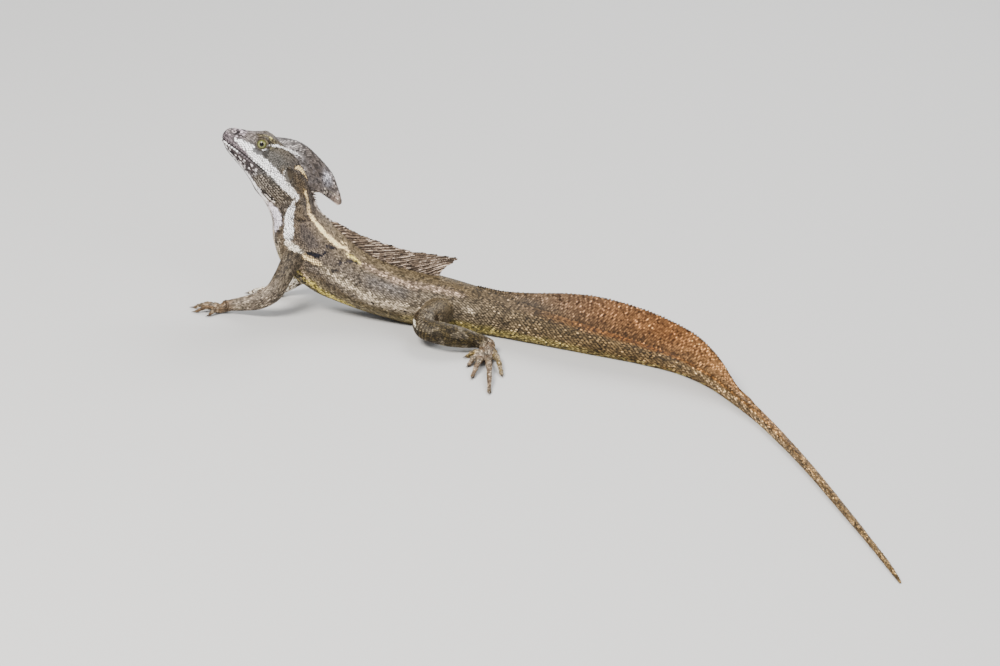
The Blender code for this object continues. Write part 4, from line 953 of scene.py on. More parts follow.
# a foot's box as seen from above, or its box as seen from below
def footMap(name, p, isTop):
    ankle, direction, inward = footParts[name][2]
    offset = p - ankle
    along, aside = (offset @ direction + 6) / 86, (offset @ inward + 28) / 56  # mm of the foot's own frame
    start = 0.01 + 0.247 * legOrder.index(name)
    top, low = (rectangle(along, aside, (x0, 0.012, 0.115, 0.13)) for x0 in (start, start + 0.122))
    return np.where(isTop[..., None], top, low)


# skin: all the fleshy parts joined and smoothed into one surface

print("skin")
# mm, rounds of smoothing, and the share of the tint kept between the scales, where it is painted shade
skinValues = {"voxel": 0.86, "rounds": 3, "crease": 0.7, "creaseWidth": 1.3,
              "earHollow": 0.8, "earRim": 0.35, "mouthGroove": 0.55, "uneven": 0.12, "eyeSocket": 3.2,
              "tint": 0.26}
creaseLines = [  # behind the jaw, twice across the neck, and at the shoulder
    [(-147.6, -11.8, 69.0, 0), (-141.0, -12.0, 70.0, 0), (-136.0, -9.6, 73.5, 0)],
    [(-147.0, -12.6, 47.4, 0), (-142.6, -14.0, 48.5, 0), (-138.0, -14.8, 49.0, 0)],
    [(-141.8, -12.2, 62.4, 0), (-135.7, -11.7, 61.3, 0), (-129.6, -9.3, 62.2, 0)],
    [(-136.0, -14.0, 27.0, 0), (-130.0, -16.4, 33.0, 0), (-122.0, -18.0, 34.5, 0)]]
grids = [tubeGrid(trunk, np.r_[0.05, 0.4, 0.9, np.arange(1.6, trunk.length, 1.0), trunk.length], 72)]
for name, leg in legs.items():
    grids.append(tubeGrid(leg, np.arange(0, leg.length - 0.2, 1.0), 28))
    for tube in footParts[name][0]:
        grids.append(tubeGrid(tube, np.linspace(0, tube.length, max(12, int(tube.length))), 16))
skin = makeObject("skin", *joinGrids(grids))
remesh = skin.modifiers.new("Join", "REMESH")
remesh.mode, remesh.voxel_size = "VOXEL", skinValues["voxel"] / 1000
soften = skin.modifiers.new("Soften", "SMOOTH")
soften.factor, soften.iterations = 0.5, skinValues["rounds"]
applied(skin)

# samples that tell each skin point its part, its place along it and round it
samples, owner, places, turns, tubesBy = [], [], [], [], []


# notes points of a tube every step along it and on so many sides
def addSamples(tube, kind, step, sides):
    t = np.arange(0.0, tube.length, step)
    tt, aa = np.repeat(t, sides), np.tile(np.arange(sides) * tau / sides, len(t))
    samples.append(tube.at(tt, aa))
    owner.append(np.full(len(tt), len(tubesBy)))
    places.append(tt)
    turns.append(aa)
    tubesBy.append((tube, kind))


addSamples(trunk, ("trunk", None, 0), 1.5, 60)
for name, leg in legs.items():
    addSamples(leg, ("leg", name, 0), 1.5, 20)
    for digit, tube in enumerate(footParts[name][0]):
        addSamples(tube, ("foot", name, digit), 1.2, 10)
samples, owner, places, turns = (np.concatenate(v) for v in (samples, owner, places, turns))
tree = KDTree(len(samples))
for i, point in enumerate(samples):
    tree.insert(point, i)
tree.balance()


# nearest sample, then its place and turn corrected by how far off the point is
def locate(points):
    near = np.array([tree.find(point)[1] for point in points])
    t, a = places[near].copy(), turns[near].copy()
    for k, (tube, _) in enumerate(tubesBy):
        mine = np.flatnonzero(owner[near] == k)
        if len(mine):
            tt, aa, gap = t[mine], a[mine], points[mine] - samples[near[mine]]
            alongStep = tube.at(tt + 0.5, aa) - tube.at(tt - 0.5, aa)
            turnStep = (tube.at(tt, aa + 0.05) - tube.at(tt, aa - 0.05)) / 0.1
            t[mine] += np.clip(dot(gap, alongStep) / np.maximum(dot(alongStep, alongStep), 0.1), -1.5, 1.5)
            a[mine] += np.clip(dot(gap, turnStep) / np.maximum(dot(turnStep, turnStep), 0.05), -0.3, 0.3)
    return owner[near], t, a % tau


points = coordinates(skin)
outward = normals(skin)
part, t, a = locate(points)
onTrunk = part == 0
f, u = headPlace(points)
for line in creaseLines:
    gap = lineGap(points, line)
    crease = np.exp(-((gap / skinValues["creaseWidth"]) ** 2)) - 0.5 * np.exp(-(((gap - 2.6) / 1.4) ** 2))
    points -= outward * (skinValues["crease"] * crease * onTrunk)[:, None]
# the ear's hollow and its rim, and the mouth's groove
ear = earPlace(f, u)[0]
hollow = skinValues["earHollow"] * smooth(1.15, 0.75, ear) * onTrunk
points -= outward * (hollow * (np.abs(points[:, 1]) > 5))[:, None]
rim = skinValues["earRim"] * np.exp(-(((ear - 1.35) / 0.25) ** 2)) * onTrunk
points += outward * (rim * (np.abs(points[:, 1]) > 5))[:, None]
onMouth = smooth(head["mouthCorner"][0] - 1, head["mouthCorner"][0] + 1, f) * onTrunk * (t < neckT)
groove = skinValues["mouthGroove"] * np.exp(-(((u - mouthHeight(f)) / 0.55) ** 2))
points -= outward * (groove * onMouth)[:, None]
waves = skinValues["uneven"] * (noise(points, 3.5, 31) - 0.5)
points += outward * (waves * smooth(10, 40, t) * onTrunk)[:, None]
# room for the eyeballs
for side in (-1, 1):
    eye = eyeCentre(side)
    away = points - eye
    distance = np.linalg.norm(away, axis=1)
    facing = (away @ (leftward * side)) / np.maximum(distance, 0.01)
    pull = smooth(0.45, 0.62, facing) * ((distance < 7.5) & (facing > 0.45))
    points += (eye + unit(away) * skinValues["eyeSocket"] - points) * pull[:, None]
points[:, 2] = np.maximum(points[:, 2], 0.0)
setCoordinates(skin, points)
part, t, a = locate(points)


# the colour of points whose part, place and turn are known
def colourAt(p, part, t, a):
    out = np.zeros((len(p), 3))
    for k, (_, (kind, name, digit)) in enumerate(tubesBy):
        mine = np.flatnonzero(part == k)
        if len(mine) and kind == "trunk":
            out[mine] = trunkColour(p[mine], t[mine], a[mine])
        elif len(mine):
            beyond = 1 + 0.02 * t[mine] + (0.1 if digit else 0)
            reach = t[mine] / legs[name].length if kind == "leg" else beyond
            out[mine] = legColour(p[mine], name, reach, digit)
    return out


# their places on the map
def mapAt(p, part, t, a, isTop):
    out = np.zeros((len(p), 2))
    for k, (_, (kind, name, _)) in enumerate(tubesBy):
        mine = np.flatnonzero(part == k)
        if len(mine) and kind == "foot":
            out[mine] = footMap(name, p[mine], isTop[mine])
        elif len(mine):
            out[mine] = trunkMap(t[mine], a[mine]) if kind == "trunk" else legMap(name, t[mine], a[mine])
    return out


# the skin between the scales darkened to that share: painted shade in the gaps
setTint(skin, colourAt(points, part, t, a) * skinValues["tint"])
# each face takes its first corner's part, and a face across the belly's seam stays on one side of it
corners = cornerIndex(skin)
firstOfFace, loopsOfFace = (np.empty(len(skin.data.polygons), np.int32) for _ in range(2))
skin.data.polygons.foreach_get("loop_start", firstOfFace)
skin.data.polygons.foreach_get("loop_total", loopsOfFace)
lead = np.repeat(corners[firstOfFace], loopsOfFace)
same = part[corners] == part[lead]
cornerT = np.where(same, t[corners], t[lead])
cornerA = np.where(same, a[corners], a[lead])
wrap = cornerA - a[lead]
last = tau - 1e-4
cornerA = np.clip(np.where(wrap > math.pi, 0.0, np.where(wrap < -math.pi, last, cornerA)), 0, last)
setMap(skin, mapAt(points[corners], part[lead], cornerT, cornerA, normals(skin)[lead, 2] > -0.1))
skin.data.materials.append(materials["skin"])
skin.data.shade_smooth()
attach(skin, "root")
limbParts = ("upper_arm", "forearm", "hand", "thigh", "shin", "foot")
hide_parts("head", "neck", "torso", *[f"tail_{i}" for i in range(1, 7)],
            *[f"{part}_{side}" for part in limbParts for side in ("left", "right")])
print("skin faces", len(skin.data.polygons))


# a tree of the mesh's triangles, for the nearest place on it
def treeOf(obj):
    mesh = obj.data
    mesh.calc_loop_triangles()
    triangles = np.empty(len(mesh.loop_triangles) * 3, np.int32)
    mesh.loop_triangles.foreach_get("vertices", triangles)
    return BVHTree.FromPolygons(coordinates(obj).tolist(), triangles.reshape(-1, 3).tolist())


skinTree = treeOf(skin)


# the nearest place on a tree's surface to each point, its normal there, and how far it is
def nearestOn(tree, points):
    seat, up, gap = np.empty_like(points), np.empty_like(points), np.empty(len(points))
    for i, point in enumerate(points):
        seat[i], up[i], _, gap[i] = tree.find_nearest(point)
    return seat, unit(up), gap


# scales, each a small keeled plate over a sunk copy of its outline

# sides and root are darkened as painted shade in the gaps between scales, the keel lightened as a painted
# highlight
# shades: how far scales differ, the share that is black, sides, root and keel; then overlap, width, looseness
scaleLook = {"spread": 0.32, "black": 0.12, "side": 0.32, "root": 0.72, "keel": 0.18, "overlap": 1.25,
             "wide": 0.93, "loose": 0.16, "mapSize": 0.0024, "perPiece": 8000}
# a scale's outline, pointed behind, over a sunk copy of itself, with a two-point keel; along, across, up
outline = np.array([(-0.5, 0), (-0.15, 0.5), (0.3, 0.4), (0.66, 0), (0.3, -0.4), (-0.15, -0.5)])
top = np.c_[outline, [0.02, 0.03, 0.10, 0.30, 0.10, 0.03]]
low = np.c_[outline * 0.96, [-0.5, -0.5, -0.4, -0.25, -0.4, -0.5]]
keelLow = 0.14  # height of a scale's middle without its keel
keel = np.array([(-0.22, 0, 0.20), (0.46, 0, 0.42)])
scaleShape = np.concatenate([top, low, keel])
scaleFaces = np.array(
    [(0, 1, 12), (1, 13, 12), (1, 2, 13), (2, 3, 13), (3, 4, 13), (4, 5, 13), (5, 12, 13), (5, 0, 12)]
    + [(i, i + 6, (i + 1) % 6 + 6) for i in range(6)] + [(i, (i + 1) % 6 + 6, (i + 1) % 6) for i in range(6)]
    + [(6, i + 1, i) for i in range(7, 11)])[:, ::-1]


# the same rows of several batches, one after the other
def stacked(batches):
    return [np.concatenate(rows) for rows in zip(*batches)]


# one mesh of all these scales: each one's seat, direction, normal, sizes, keel strength, colour and map place
def makeScales(name, seat, ahead, up, length, width, height, keelRise, colour, uv, slot="skin"):
    ahead = unit(ahead - up * dot(ahead, up)[:, None])
    side = np.cross(up, ahead)
    shape = np.repeat(scaleShape[None], len(seat), 0)
    shape[:, 12:, 2] = keelLow + (shape[:, 12:, 2] - keelLow) * keelRise[:, None]
    points = (seat[:, None] + ahead[:, None] * (shape[..., :1] * length[:, None, None])
              + side[:, None] * (shape[..., 1:2] * width[:, None, None])
              + up[:, None] * (shape[..., 2:] * height[:, None, None]))
    points[..., 2] = np.maximum(points[..., 2], 0.0)
    faces = (scaleFaces[None] + (np.arange(len(seat)) * len(scaleShape))[:, None, None]).reshape(-1, 3)
    obj = makeObject(name, points.reshape(-1, 3), faces, False)
    shade = np.repeat(colour, len(scaleShape), 0).reshape(len(seat), -1, 3)
    # sides and root darkened as painted shade between the scales, the keel lightened as a painted highlight
    shade[:, 6:12] *= scaleLook["side"]
    shade[:, [0, 1, 5]] *= scaleLook["root"]
    shade[:, 12:] *= 1.0 + scaleLook["keel"] * keelRise[:, None, None]
    setTint(obj, shade.reshape(-1, 3))
    patch = np.clip(scaleShape[:, :2] * scaleLook["mapSize"], -0.0015, 0.0015)
    setMap(obj, (uv[:, None] + patch[None]).reshape(-1, 2)[cornerIndex(obj)])
    obj.data.materials.append(materials["scales"])
    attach(obj, "root")
    return obj


# how far the tail's columns of scales lean back above its middle and forward below it, like its sail's rays
def slant(t, a):
    onTail = smooth(trunk.atX(-80), trunk.atX(0), t) * smooth(trunk.atX(175), trunk.atX(150), t)
    return 0.53 * onTail * np.cos(a) * trunk.sizes(t)[:, 1]


# staggered rings of seeds on a tube between two places
def ringSeeds(tube, start, end, step, width):
    rows = max(1, int(round((end - start) / step)))
    t = start + (np.arange(rows) + 0.5) * (end - start) / rows
    size = tube.sizes(np.array([(start + end) / 2]))[0]
    around = max(6, int(round(math.pi * (size[0] + (size[1] + size[2]) / 2) / width)))
    i, j = (grid.ravel() for grid in np.meshgrid(np.arange(rows), np.arange(around), indexing="ij"))
    tt, aa = t[i], (j + 0.5 * (i % 2)) * tau / around
    if tube is trunk:
        tt = tt + slant(tt, aa)
    loose = scaleLook["loose"]
    tt = tt + rng.uniform(-loose, loose, tt.size) * step
    return tt, aa + rng.uniform(-loose, loose, aa.size) * tau / around


# the scales by stretch of the trunk: x from, x to, step, width, height, keel; and by part of a limb
trunkCoat = [
    (-192.0, -184.0, 1.35, 1.3, 0.45, 0.3), (-184.0, -174.0, 1.3, 1.25, 0.42, 0.3),
    (-174.0, -157.0, 1.0, 0.95, 0.34, 0.3), (-157.0, -147.0, 0.95, 0.95, 0.34, 0.3),
    (-147.0, -140.0, 1.0, 1.0, 0.36, 0.4), (-140.0, -128.0, 1.1, 1.1, 0.4, 0.6),
    (-128.0, -100.0, 1.15, 1.15, 0.42, 0.7), (-100.0, -60.0, 1.2, 1.2, 0.44, 0.7),
    (-60.0, -20.0, 1.25, 1.2, 0.44, 0.8), (-20.0, 10.0, 1.2, 1.1, 0.44, 0.9),
    (10.0, 45.0, 1.3, 1.15, 0.46, 1.0), (45.0, 80.0, 1.45, 1.2, 0.5, 1.0),
    (80.0, 119.0, 1.5, 1.2, 0.5, 1.0), (119.0, 151.5, 1.6, 1.2, 0.5, 1.1),
    (151.5, 180.0, 1.8, 1.1, 0.46, 1.2), (180.0, 212.0, 1.8, 0.95, 0.4, 1.2),
    (212.0, 241.0, 1.6, 0.8, 0.32, 1.0)]
legCoat = {"leg": (1.2, 1.15, 0.44, 0.8), "palm": (1.15, 1.1, 0.44, 0.5), "digit": (1.1, 1.05, 0.42, 0.5)}


# each scale's own shade: paler and darker at random, some nearly black, less so on the white marks
def varied(colour, calm=0.0):
    bright = smooth(0.30, 0.62, colour.mean(1))
    depth = scaleLook["spread"] * (1 - 0.75 * bright) * (1 - 0.6 * calm)
    shade = 1 + depth * rng.normal(size=len(colour)).clip(-2, 2)
    black = rng.random(len(colour)) < scaleLook["black"] * (1 - 0.7 * bright) * (1 - calm)
    return colour * np.where(black, 0.4, shade)[:, None]


# the seeds that other tubes don't cover, each dropped onto the skin, with its direction
def seatSeeds(tube, t, a, others):
    p = tube.at(t, a)
    keep = np.ones(len(p), bool)
    for other, start, end in others:
        keep &= other.depth(p, start, end) > 0.93
    p, t, a = p[keep], t[keep], a[keep]
    ahead = unit(tube.at(t + 0.6, a) - tube.at(t - 0.6, a))
    seat, up, gap = nearestOn(skinTree, p)
    good = (gap < 2.2) & (seat[:, 2] > 0.05)  # near the skin and off the floor
    return keep.nonzero()[0][good], seat[good], up[good], ahead[good], t[good], a[good]


# the scales of one stretch of a tube, with colours and map places; keeper leaves some out
def coat(tube, tubeIndex, t, a, length, width, height, keelRise, others, keeper=None):
    sizes = [np.broadcast_to(v, t.shape) for v in (length, width, height, keelRise)]
    index, seat, up, ahead, t, a = seatSeeds(tube, t, a, others)
    keep = keeper(seat, t, a) if keeper else np.ones(len(seat), bool)
    kind = np.full(len(seat), tubeIndex)
    colour = varied(colourAt(seat, kind, t, a), calmAt(seat) * (tubeIndex == 0))
    uv = mapAt(seat, kind, t, a, up[:, 2] > -0.1)
    return [v[keep] for v in (seat, ahead, up, *[size[index] for size in sizes], colour, uv)]


# leaves out the scales in the ear, along the lips and round the eyes
def headKeep(seat, t, a):
    f, u = headPlace(seat)
    keep = (earPlace(f, u)[0] > 1.12) | (np.abs(seat[:, 1]) < 5)
    keep &= ~((np.abs(u - mouthHeight(f)) < 1.9) & (f > head["mouthCorner"][0] - 0.5) & (t < neckT))
    for side in (-1, 1):
        away = seat - eyeCentre(side)
        distance = np.linalg.norm(away, axis=1)
        keep &= ~((distance < 7.6) & (away @ (leftward * side) / distance > 0.40))
    return keep


print("scales")
coarse = 1
wide, overlap = scaleLook["wide"], scaleLook["overlap"]
legTubes = [(leg, 0.0, None) for leg in legs.values()]
batches = {f"{place}_scales": [] for place in ("head", "front", "back", "tail", "limb", "foot")}
for x0, x1, step, width, height, keelRise in trunkCoat:
    start, end = trunk.atX(x0), trunk.atX(x1)
    step, width = step * coarse, width * coarse
    t, a = ringSeeds(trunk, start, end, step, width)
    size = width * trunk.sizes(t)[:, 0] / trunk.sizes(np.array([(start + end) / 2]))[0, 0]
    key = "head" if x0 < -147 else "front" if x0 < -100 else "back" if x0 < -20 else "tail"
    batches[key + "_scales"].append(coat(
        trunk, 0, t, a, step * overlap, size * wide, height, keelRise * smooth(-0.9, -0.3, np.cos(a)),
        legTubes if -150 < x0 < 0 else [], headKeep if x0 < -140 else None))
for k, (tube, (kind, name, digit)) in enumerate(tubesBy[1:], 1):
    step, width, height, keelRise = legCoat["leg" if kind == "leg" else "digit" if digit else "palm"]
    step, width = step * coarse, width * coarse
    palm, *digits = footParts[name][0]
    if kind == "leg":
        others = [(trunk, trunk.atX(-150), trunk.atX(10)), (palm, 0.0, None)]
        cuts, key = 7, "limb_scales"
    else:
        others = [(other, 0.0, None) for other in (palm, *digits) if other is not tube]
        others += [] if digit else [(legs[name], 0.0, None)]
        cuts, key = 3, "foot_scales"
    pieces = np.linspace(0, tube.length, cuts)
    for start, end in zip(pieces[:-1], pieces[1:]):
        t, a = ringSeeds(tube, start, end, step, width)
        batches[key].append(coat(tube, k, t, a, step * overlap, width * wide, height, keelRise, others))
for name, parts in batches.items():
    joined = stacked(parts)
    for k, first in enumerate(range(0, len(joined[0]), scaleLook["perPiece"]), 1):
        makeScales(f"{name}_{k}", *[v[first:first + scaleLook["perPiece"]] for v in joined])
    print(name, len(joined[0]))


# lips: a row of larger plates above and below the mouth line, and a second row beyond each

# the skin's places beside these spots of the head, found by looking in from the side
def faceSeeds(f, u, side):
    guess = np.array([headPoint(fi, ui, side * 14.0) for fi, ui in zip(f, u)])
    seat, up = np.empty_like(guess), np.empty_like(guess)
    for i, point in enumerate(guess):
        hit = skinTree.ray_cast(point + leftward * side * 12, -leftward * side)
        found = hit if hit[0] is not None else skinTree.find_nearest(point)
        seat[i], up[i] = found[0], found[1]
    return seat, unit(up)


# each row: height above the mouth line, width of its plates, shift along
lips = {"plate": 1.9, "rise": 0.5, "keel": 0.25, "rows": (
    (1.0, 1.35, 0.0), (-1.0, 1.3, 0.0), (2.25, 1.25, 0.9), (-2.2, 1.2, 0.9))}
plates = []
for side in (-1, 1):
    for gap, tall, along in lips["rows"]:
        f = np.arange(head["mouthCorner"][0] + 0.5, head["mouthFront"][0] - 0.6, lips["plate"]) + along
        seat, up = faceSeeds(f, mouthHeight(f) + gap, side)
        _, t, a = locate(seat)
        ahead = unit(np.gradient(seat, axis=0)) * -1
        colour = trunkColour(seat, t, a) * (1 + 0.1 * rng.normal(size=len(seat)))[:, None]
        sizes = [np.full(len(seat), v) for v in (lips["plate"] * 0.92, tall, lips["rise"], lips["keel"])]
        plates.append([seat, ahead, up, *sizes, colour, trunkMap(t, a)])
makeScales("lip_scales", *stacked(plates))


# eyes and lids

# radii and the lid's opening in mm, the look's shares up and ahead, the lid's edge in degrees and its folds
eyeValues = {"pupil": 1.45, "iris": 3.05, "up": 0.16, "ahead": 0.10, "opening": (3.0, 2.9), "lidReach": 84,
             "rings": 3, "yellow": rgb(164, 162, 116), "green": rgb(108, 112, 60), "rim": rgb(44, 38, 26),
             "black": np.full(3, 0.004)}


# a direction at an angle off the line of sight, turned round it
def sight(axes, off, turn):
    look, ahead, above = axes
    around = ahead * np.cos(turn)[..., None] + above * np.sin(turn)[..., None]
    return look * np.cos(off)[..., None] + around * np.sin(off)[..., None]


# the lid's angle off the line of sight: the oval opening at share 0, the lid's outer edge at share 1
def lidAngle(turn, share):
    edge = np.hypot(np.cos(turn) * eyeValues["opening"][0], np.sin(turn) * eyeValues["opening"][1])
    inner = np.arcsin(edge / (head["eyeRadius"] + 0.2))
    return inner + (math.radians(eyeValues["lidReach"]) - inner) * share


# eyeball: rings round the line of sight, bulged at the cornea, coloured by their distance from that line
def makeEyeball(name, side, centre, axes):
    off, turn = np.meshgrid(np.linspace(0.0, math.pi, 40), np.arange(48) * tau / 48, indexing="ij")
    radius = head["eyeRadius"] - 0.05 + 0.22 * np.exp(-((off / 0.62) ** 2))
    ball = centre + sight(axes, off, turn) * radius[..., None]
    faces = ringFaces(*off.shape)
    eye = makeObject(f"eyeball_{name}", ball.reshape(-1, 3), faces if side > 0 else faces[:, ::-1])
    rho = (np.sin(off) * head["eyeRadius"] * np.sign(np.cos(off)) + 9 * (np.cos(off) < 0)).ravel()
    streak = noise(np.c_[np.cos(turn).ravel() * 9, np.sin(turn).ravel() * 9, rho * 0.7], 1.0, 41)
    pupil, iris, yellow = eyeValues["pupil"], eyeValues["iris"], eyeValues["yellow"]
    col = mixIn(eyeValues["green"], yellow, smooth(0.25, 0.75, streak) * smooth(3.0, 1.6, rho))
    col = mixIn(col, yellow * 1.25, smooth(0.35, 0.0, np.abs(rho - pupil - 0.3)) * 0.8)
    col = mixIn(col, eyeValues["rim"], smooth(iris - 0.3, iris + 0.05, rho))
    setTint(eye, mixIn(col, eyeValues["black"], smooth(pupil + 0.1, pupil - 0.05, rho)))
    uv = 0.5 + 0.48 * off[..., None] * np.stack([np.cos(turn), np.sin(turn)], -1) / math.pi
    setMap(eye, uv.reshape(-1, 2)[cornerIndex(eye)])
    eye.data.materials.append(materials["eye"])
    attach(eye, "root")
    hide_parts(f"eye_{name}")


# lid: from the opening on the eyeball over a rim, then folds, out to the skin
def makeEyelid(name, side, centre, axes):
    s, turn = np.meshgrid(np.linspace(0, 1, 26), np.arange(72) * tau / 72, indexing="ij")
    folds = 0.16 * np.sin(tau * eyeValues["rings"] * s) * smooth(0.1, 0.25, s)
    rise = 0.05 + 0.58 * smooth(0, 0.16, s) + folds
    upper = np.clip(np.sin(turn) * np.sign(axes[2][2]), 0, 1)
    radial = head["eyeRadius"] + rise * (1 - 0.4 * upper * smooth(0.2, 0.5, s))
    direction = sight(axes, lidAngle(turn, s), turn)
    lid = (centre + direction * radial[..., None]).reshape(-1, 3)
    direction = direction.reshape(-1, 3)
    onSkin = nearestOn(skinTree, centre + direction * 6.2)[0]
    blend = smooth(0.45, 1.0, s.ravel())[:, None]
    lid = lid * (1 - blend) + (onSkin - direction * 0.25) * blend
    faces = ringFaces(*s.shape)
    lidObj = makeObject(f"eyelid_{name}", lid, faces if side < 0 else faces[:, ::-1])
    _, t, a = locate(lid)
    tint = mixIn(trunkColour(lid, t, a), paints["lidTone"], 0.6 * smooth(0.8, 0.3, s.ravel()))
    setTint(lidObj, mixIn(tint, paints["lidRim"], smooth(0.10, 0.0, s.ravel())) * 0.8)
    setMap(lidObj, trunkMap(t, a)[cornerIndex(lidObj)])
    lidObj.data.materials.append(materials["skin"])
    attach(lidObj, "root")
    return lidObj


# rings of small scales on a lid, the first ring the smallest
def lidScales(lidObj, centre, axes):
    lidTree = treeOf(lidObj)
    batches = []
    for i, share in enumerate(np.linspace(0.09, 0.97, 10)):
        count = int(30 + 22 * share)
        turn = (np.arange(count) + 0.5 * (i % 2)) * tau / count
        out = sight(axes, lidAngle(turn, share), turn)
        seat, up, _ = nearestOn(lidTree, centre + out * (head["eyeRadius"] + 1.2))
        up *= np.sign(dot(up, out))[:, None]
        around = -axes[1] * np.sin(turn)[:, None] + axes[2] * np.cos(turn)[:, None]
        _, t, a = locate(seat)
        colour = mixIn(trunkColour(seat, t, a), paints["lidTone"], np.full(count, 0.45 * (1 - share)))
        colour = drawMark(colour, seat, underEyeMark) * (1 + 0.14 * rng.normal(size=count))[:, None]
        small = 0.62 if i == 0 else 0.8
        sizes = [np.full(count, value) for value in (small, small * 0.9, 0.26, 0.3)]
        batches.append([seat, around, up, *sizes, colour, trunkMap(t, a)])
    return batches


print("eyes")
lidBatches = []
for side, name in ((1, "left"), (-1, "right")):
    centre = eyeCentre(side)
    look = unit(leftward * side + np.array([0, 0, 1.0]) * eyeValues["up"] + forward * eyeValues["ahead"])
    ahead = unit(forward - look * (forward @ look))
    above = np.cross(look, ahead) * side
    axes = look, ahead, above if above[2] > 0 else -above
    makeEyeball(name, side, centre, axes)
    lidBatches += lidScales(makeEyelid(name, side, centre, axes), centre, axes)
makeScales("eyelid_scales", *stacked(lidBatches))


# nostrils: a raised ring round a pit painted dark as its shade

# each step out from the middle: share of the way, share of the radius, rise in mm
nostrilValues = {"radius": 0.72, "sides": 20, "steps": 9, "profile": np.array([
    (0, 0.02, -0.15), (0.3, 0.6, -0.1), (0.5, 1.0, 0.25), (0.75, 1.5, 0.42), (1, 1.9, -0.2)])}
pits, steps, sides = [], nostrilValues["steps"], nostrilValues["sides"]
v, w = np.meshgrid(np.linspace(0, 1, steps), np.arange(sides) * tau / sides, indexing="ij")
shares, radii, rises = nostrilValues["profile"].T
for side in (-1, 1):
    seat, up = (rows[0] for rows in faceSeeds([head["nostril"][0]], [head["nostril"][1]], side))
    lengthways = unit(forward - up * (forward @ up))
    across = np.cross(up, lengthways)
    radius = nostrilValues["radius"] * np.interp(v, shares, radii)
    oval = lengthways * np.cos(w)[..., None] * 1.2 + across * np.sin(w)[..., None] * 0.9
    points = seat + oval * radius[..., None] + up * np.interp(v, shares, rises)[..., None]
    pits.append((points.reshape(-1, 3), ringFaces(steps, sides)))
obj = makeObject("nostrils", *joinGrids(pits))
# the pit painted near black: painted shade inside the nostril
setTint(obj, mixIn(paints["nostrilPitShade"], paints["nostrilRim"], smooth(0.4, 0.62, np.tile(v.ravel(), 2))))
_, t, a = locate(coordinates(obj))
setMap(obj, trunkMap(t, a)[cornerIndex(obj)])
obj.data.materials.append(materials["skin"])
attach(obj, "root")


# thin sheets: head crest and sails

# both faces of a middle surface moved apart, with a strip round the edge
def sheetObject(name, middle, half, side, colour):
    rows, columns = middle.shape[:2]
    total = rows * columns
    index = np.arange(total).reshape(rows, columns)
    front = np.stack([index[:-1, :-1], index[1:, :-1], index[1:, 1:], index[:-1, 1:]], -1).reshape(-1, 4)
    edge = np.concatenate([index[:-1, 0], index[-1, :-1], index[:0:-1, -1], index[0, :0:-1]])
    after = np.roll(edge, -1)
    strip = np.stack([edge, edge + total, after + total, after], -1)[:, ::-1]
    thick = side * half[..., None]
    obj = makeObject(name, np.concatenate([(middle + thick).reshape(-1, 3), (middle - thick).reshape(-1, 3)]),
                     np.concatenate([front, front[:, ::-1] + total, strip]))
    v, u = np.meshgrid(np.linspace(0, 1, columns), np.linspace(0, 1, rows))
    uv = [np.stack([0.01 + 0.98 * u, low + 0.47 * v], -1).reshape(-1, 2) for low in (0.01, 0.52)]
    setMap(obj, np.concatenate(uv)[cornerIndex(obj)])
    setTint(obj, np.concatenate([colour, colour]).reshape(-1, 3))
    return obj


# rows of values read at fractional places between them
def sampled(k, values):
    return np.stack([np.interp(k, np.arange(len(values)), column) for column in values.T], 1)


# scales on a sheet: staggered in rows, seated on its two faces
def sheetScales(name, middle, half, side, colourOf, slot, values):
    rows, columns = middle.shape[:2]
    stepAlong, stepOut = (step * coarse for step in values["steps"])
    alongRays, acrossRays = values["direction"]
    longer, wider = (stepOut, stepAlong) if alongRays > 0.5 else (stepAlong, stepOut)
    sizes = longer * 1.22, values["wide"] * wider, values["height"], values["keel"]
    skip = values["skip"]
    batch = []
    lengths = np.linalg.norm(np.diff(middle, axis=1), axis=2).sum(1)
    widths = np.linalg.norm(np.diff(middle[:, columns // 2], axis=0), axis=1).sum()
    count = int(widths / stepAlong)
    for i in range(count):
        row = (i + 0.5) / count * (rows - 1)
        here = int(row)
        after, w = min(here + 1, rows - 1), row - here
        line = middle[here] * (1 - w) + middle[after] * w
        thick = half[here] * (1 - w) + half[after] * w
        n = int(lengths[here] * (1 - skip) / stepOut)
        if n < 1:
            continue
        out = skip + (np.arange(n) + 0.5 + 0.5 * (i % 2)) / (n + 0.5) * (1 - skip)
        k = np.clip(out, 0, 1) * (columns - 1)
        seat = sampled(k, line)
        deep = np.interp(k, np.arange(columns), thick)
        lie = unit(sampled(k, np.gradient(line, axis=0)))
        step = unit(sampled(k, middle[after] - middle[max(here - 1, 0)]))
        outer = side if side.ndim == 1 else side[here]
        slope = 0 * deep
        if n > 1:
            slope = np.gradient(deep) / np.maximum(np.linalg.norm(np.gradient(seat, axis=0), axis=1), 1e-3)
        share = np.full(n, (i + 0.5) / count)
        ahead = unit(lie * alongRays + step * acrossRays)
        for face in (1, -1):
            up = unit(outer * face * np.ones((n, 1)) - lie * slope[:, None])
            onFace = seat + outer * face * deep[:, None]
            uv = np.stack([0.01 + 0.98 * share, (0.01 if face > 0 else 0.52) + 0.47 * out], -1)
            batch.append([onFace, ahead, up, *[np.full(n, size) for size in sizes],
                          varied(colourOf(onFace, share, out)), uv])
    joined = stacked(batch)
    keep = trunk.depth(joined[0], 0, trunk.atX(200)) > 0.99
    print(name, int(keep.sum()))
    makeScales(name, *[v[keep] for v in joined], slot=slot)


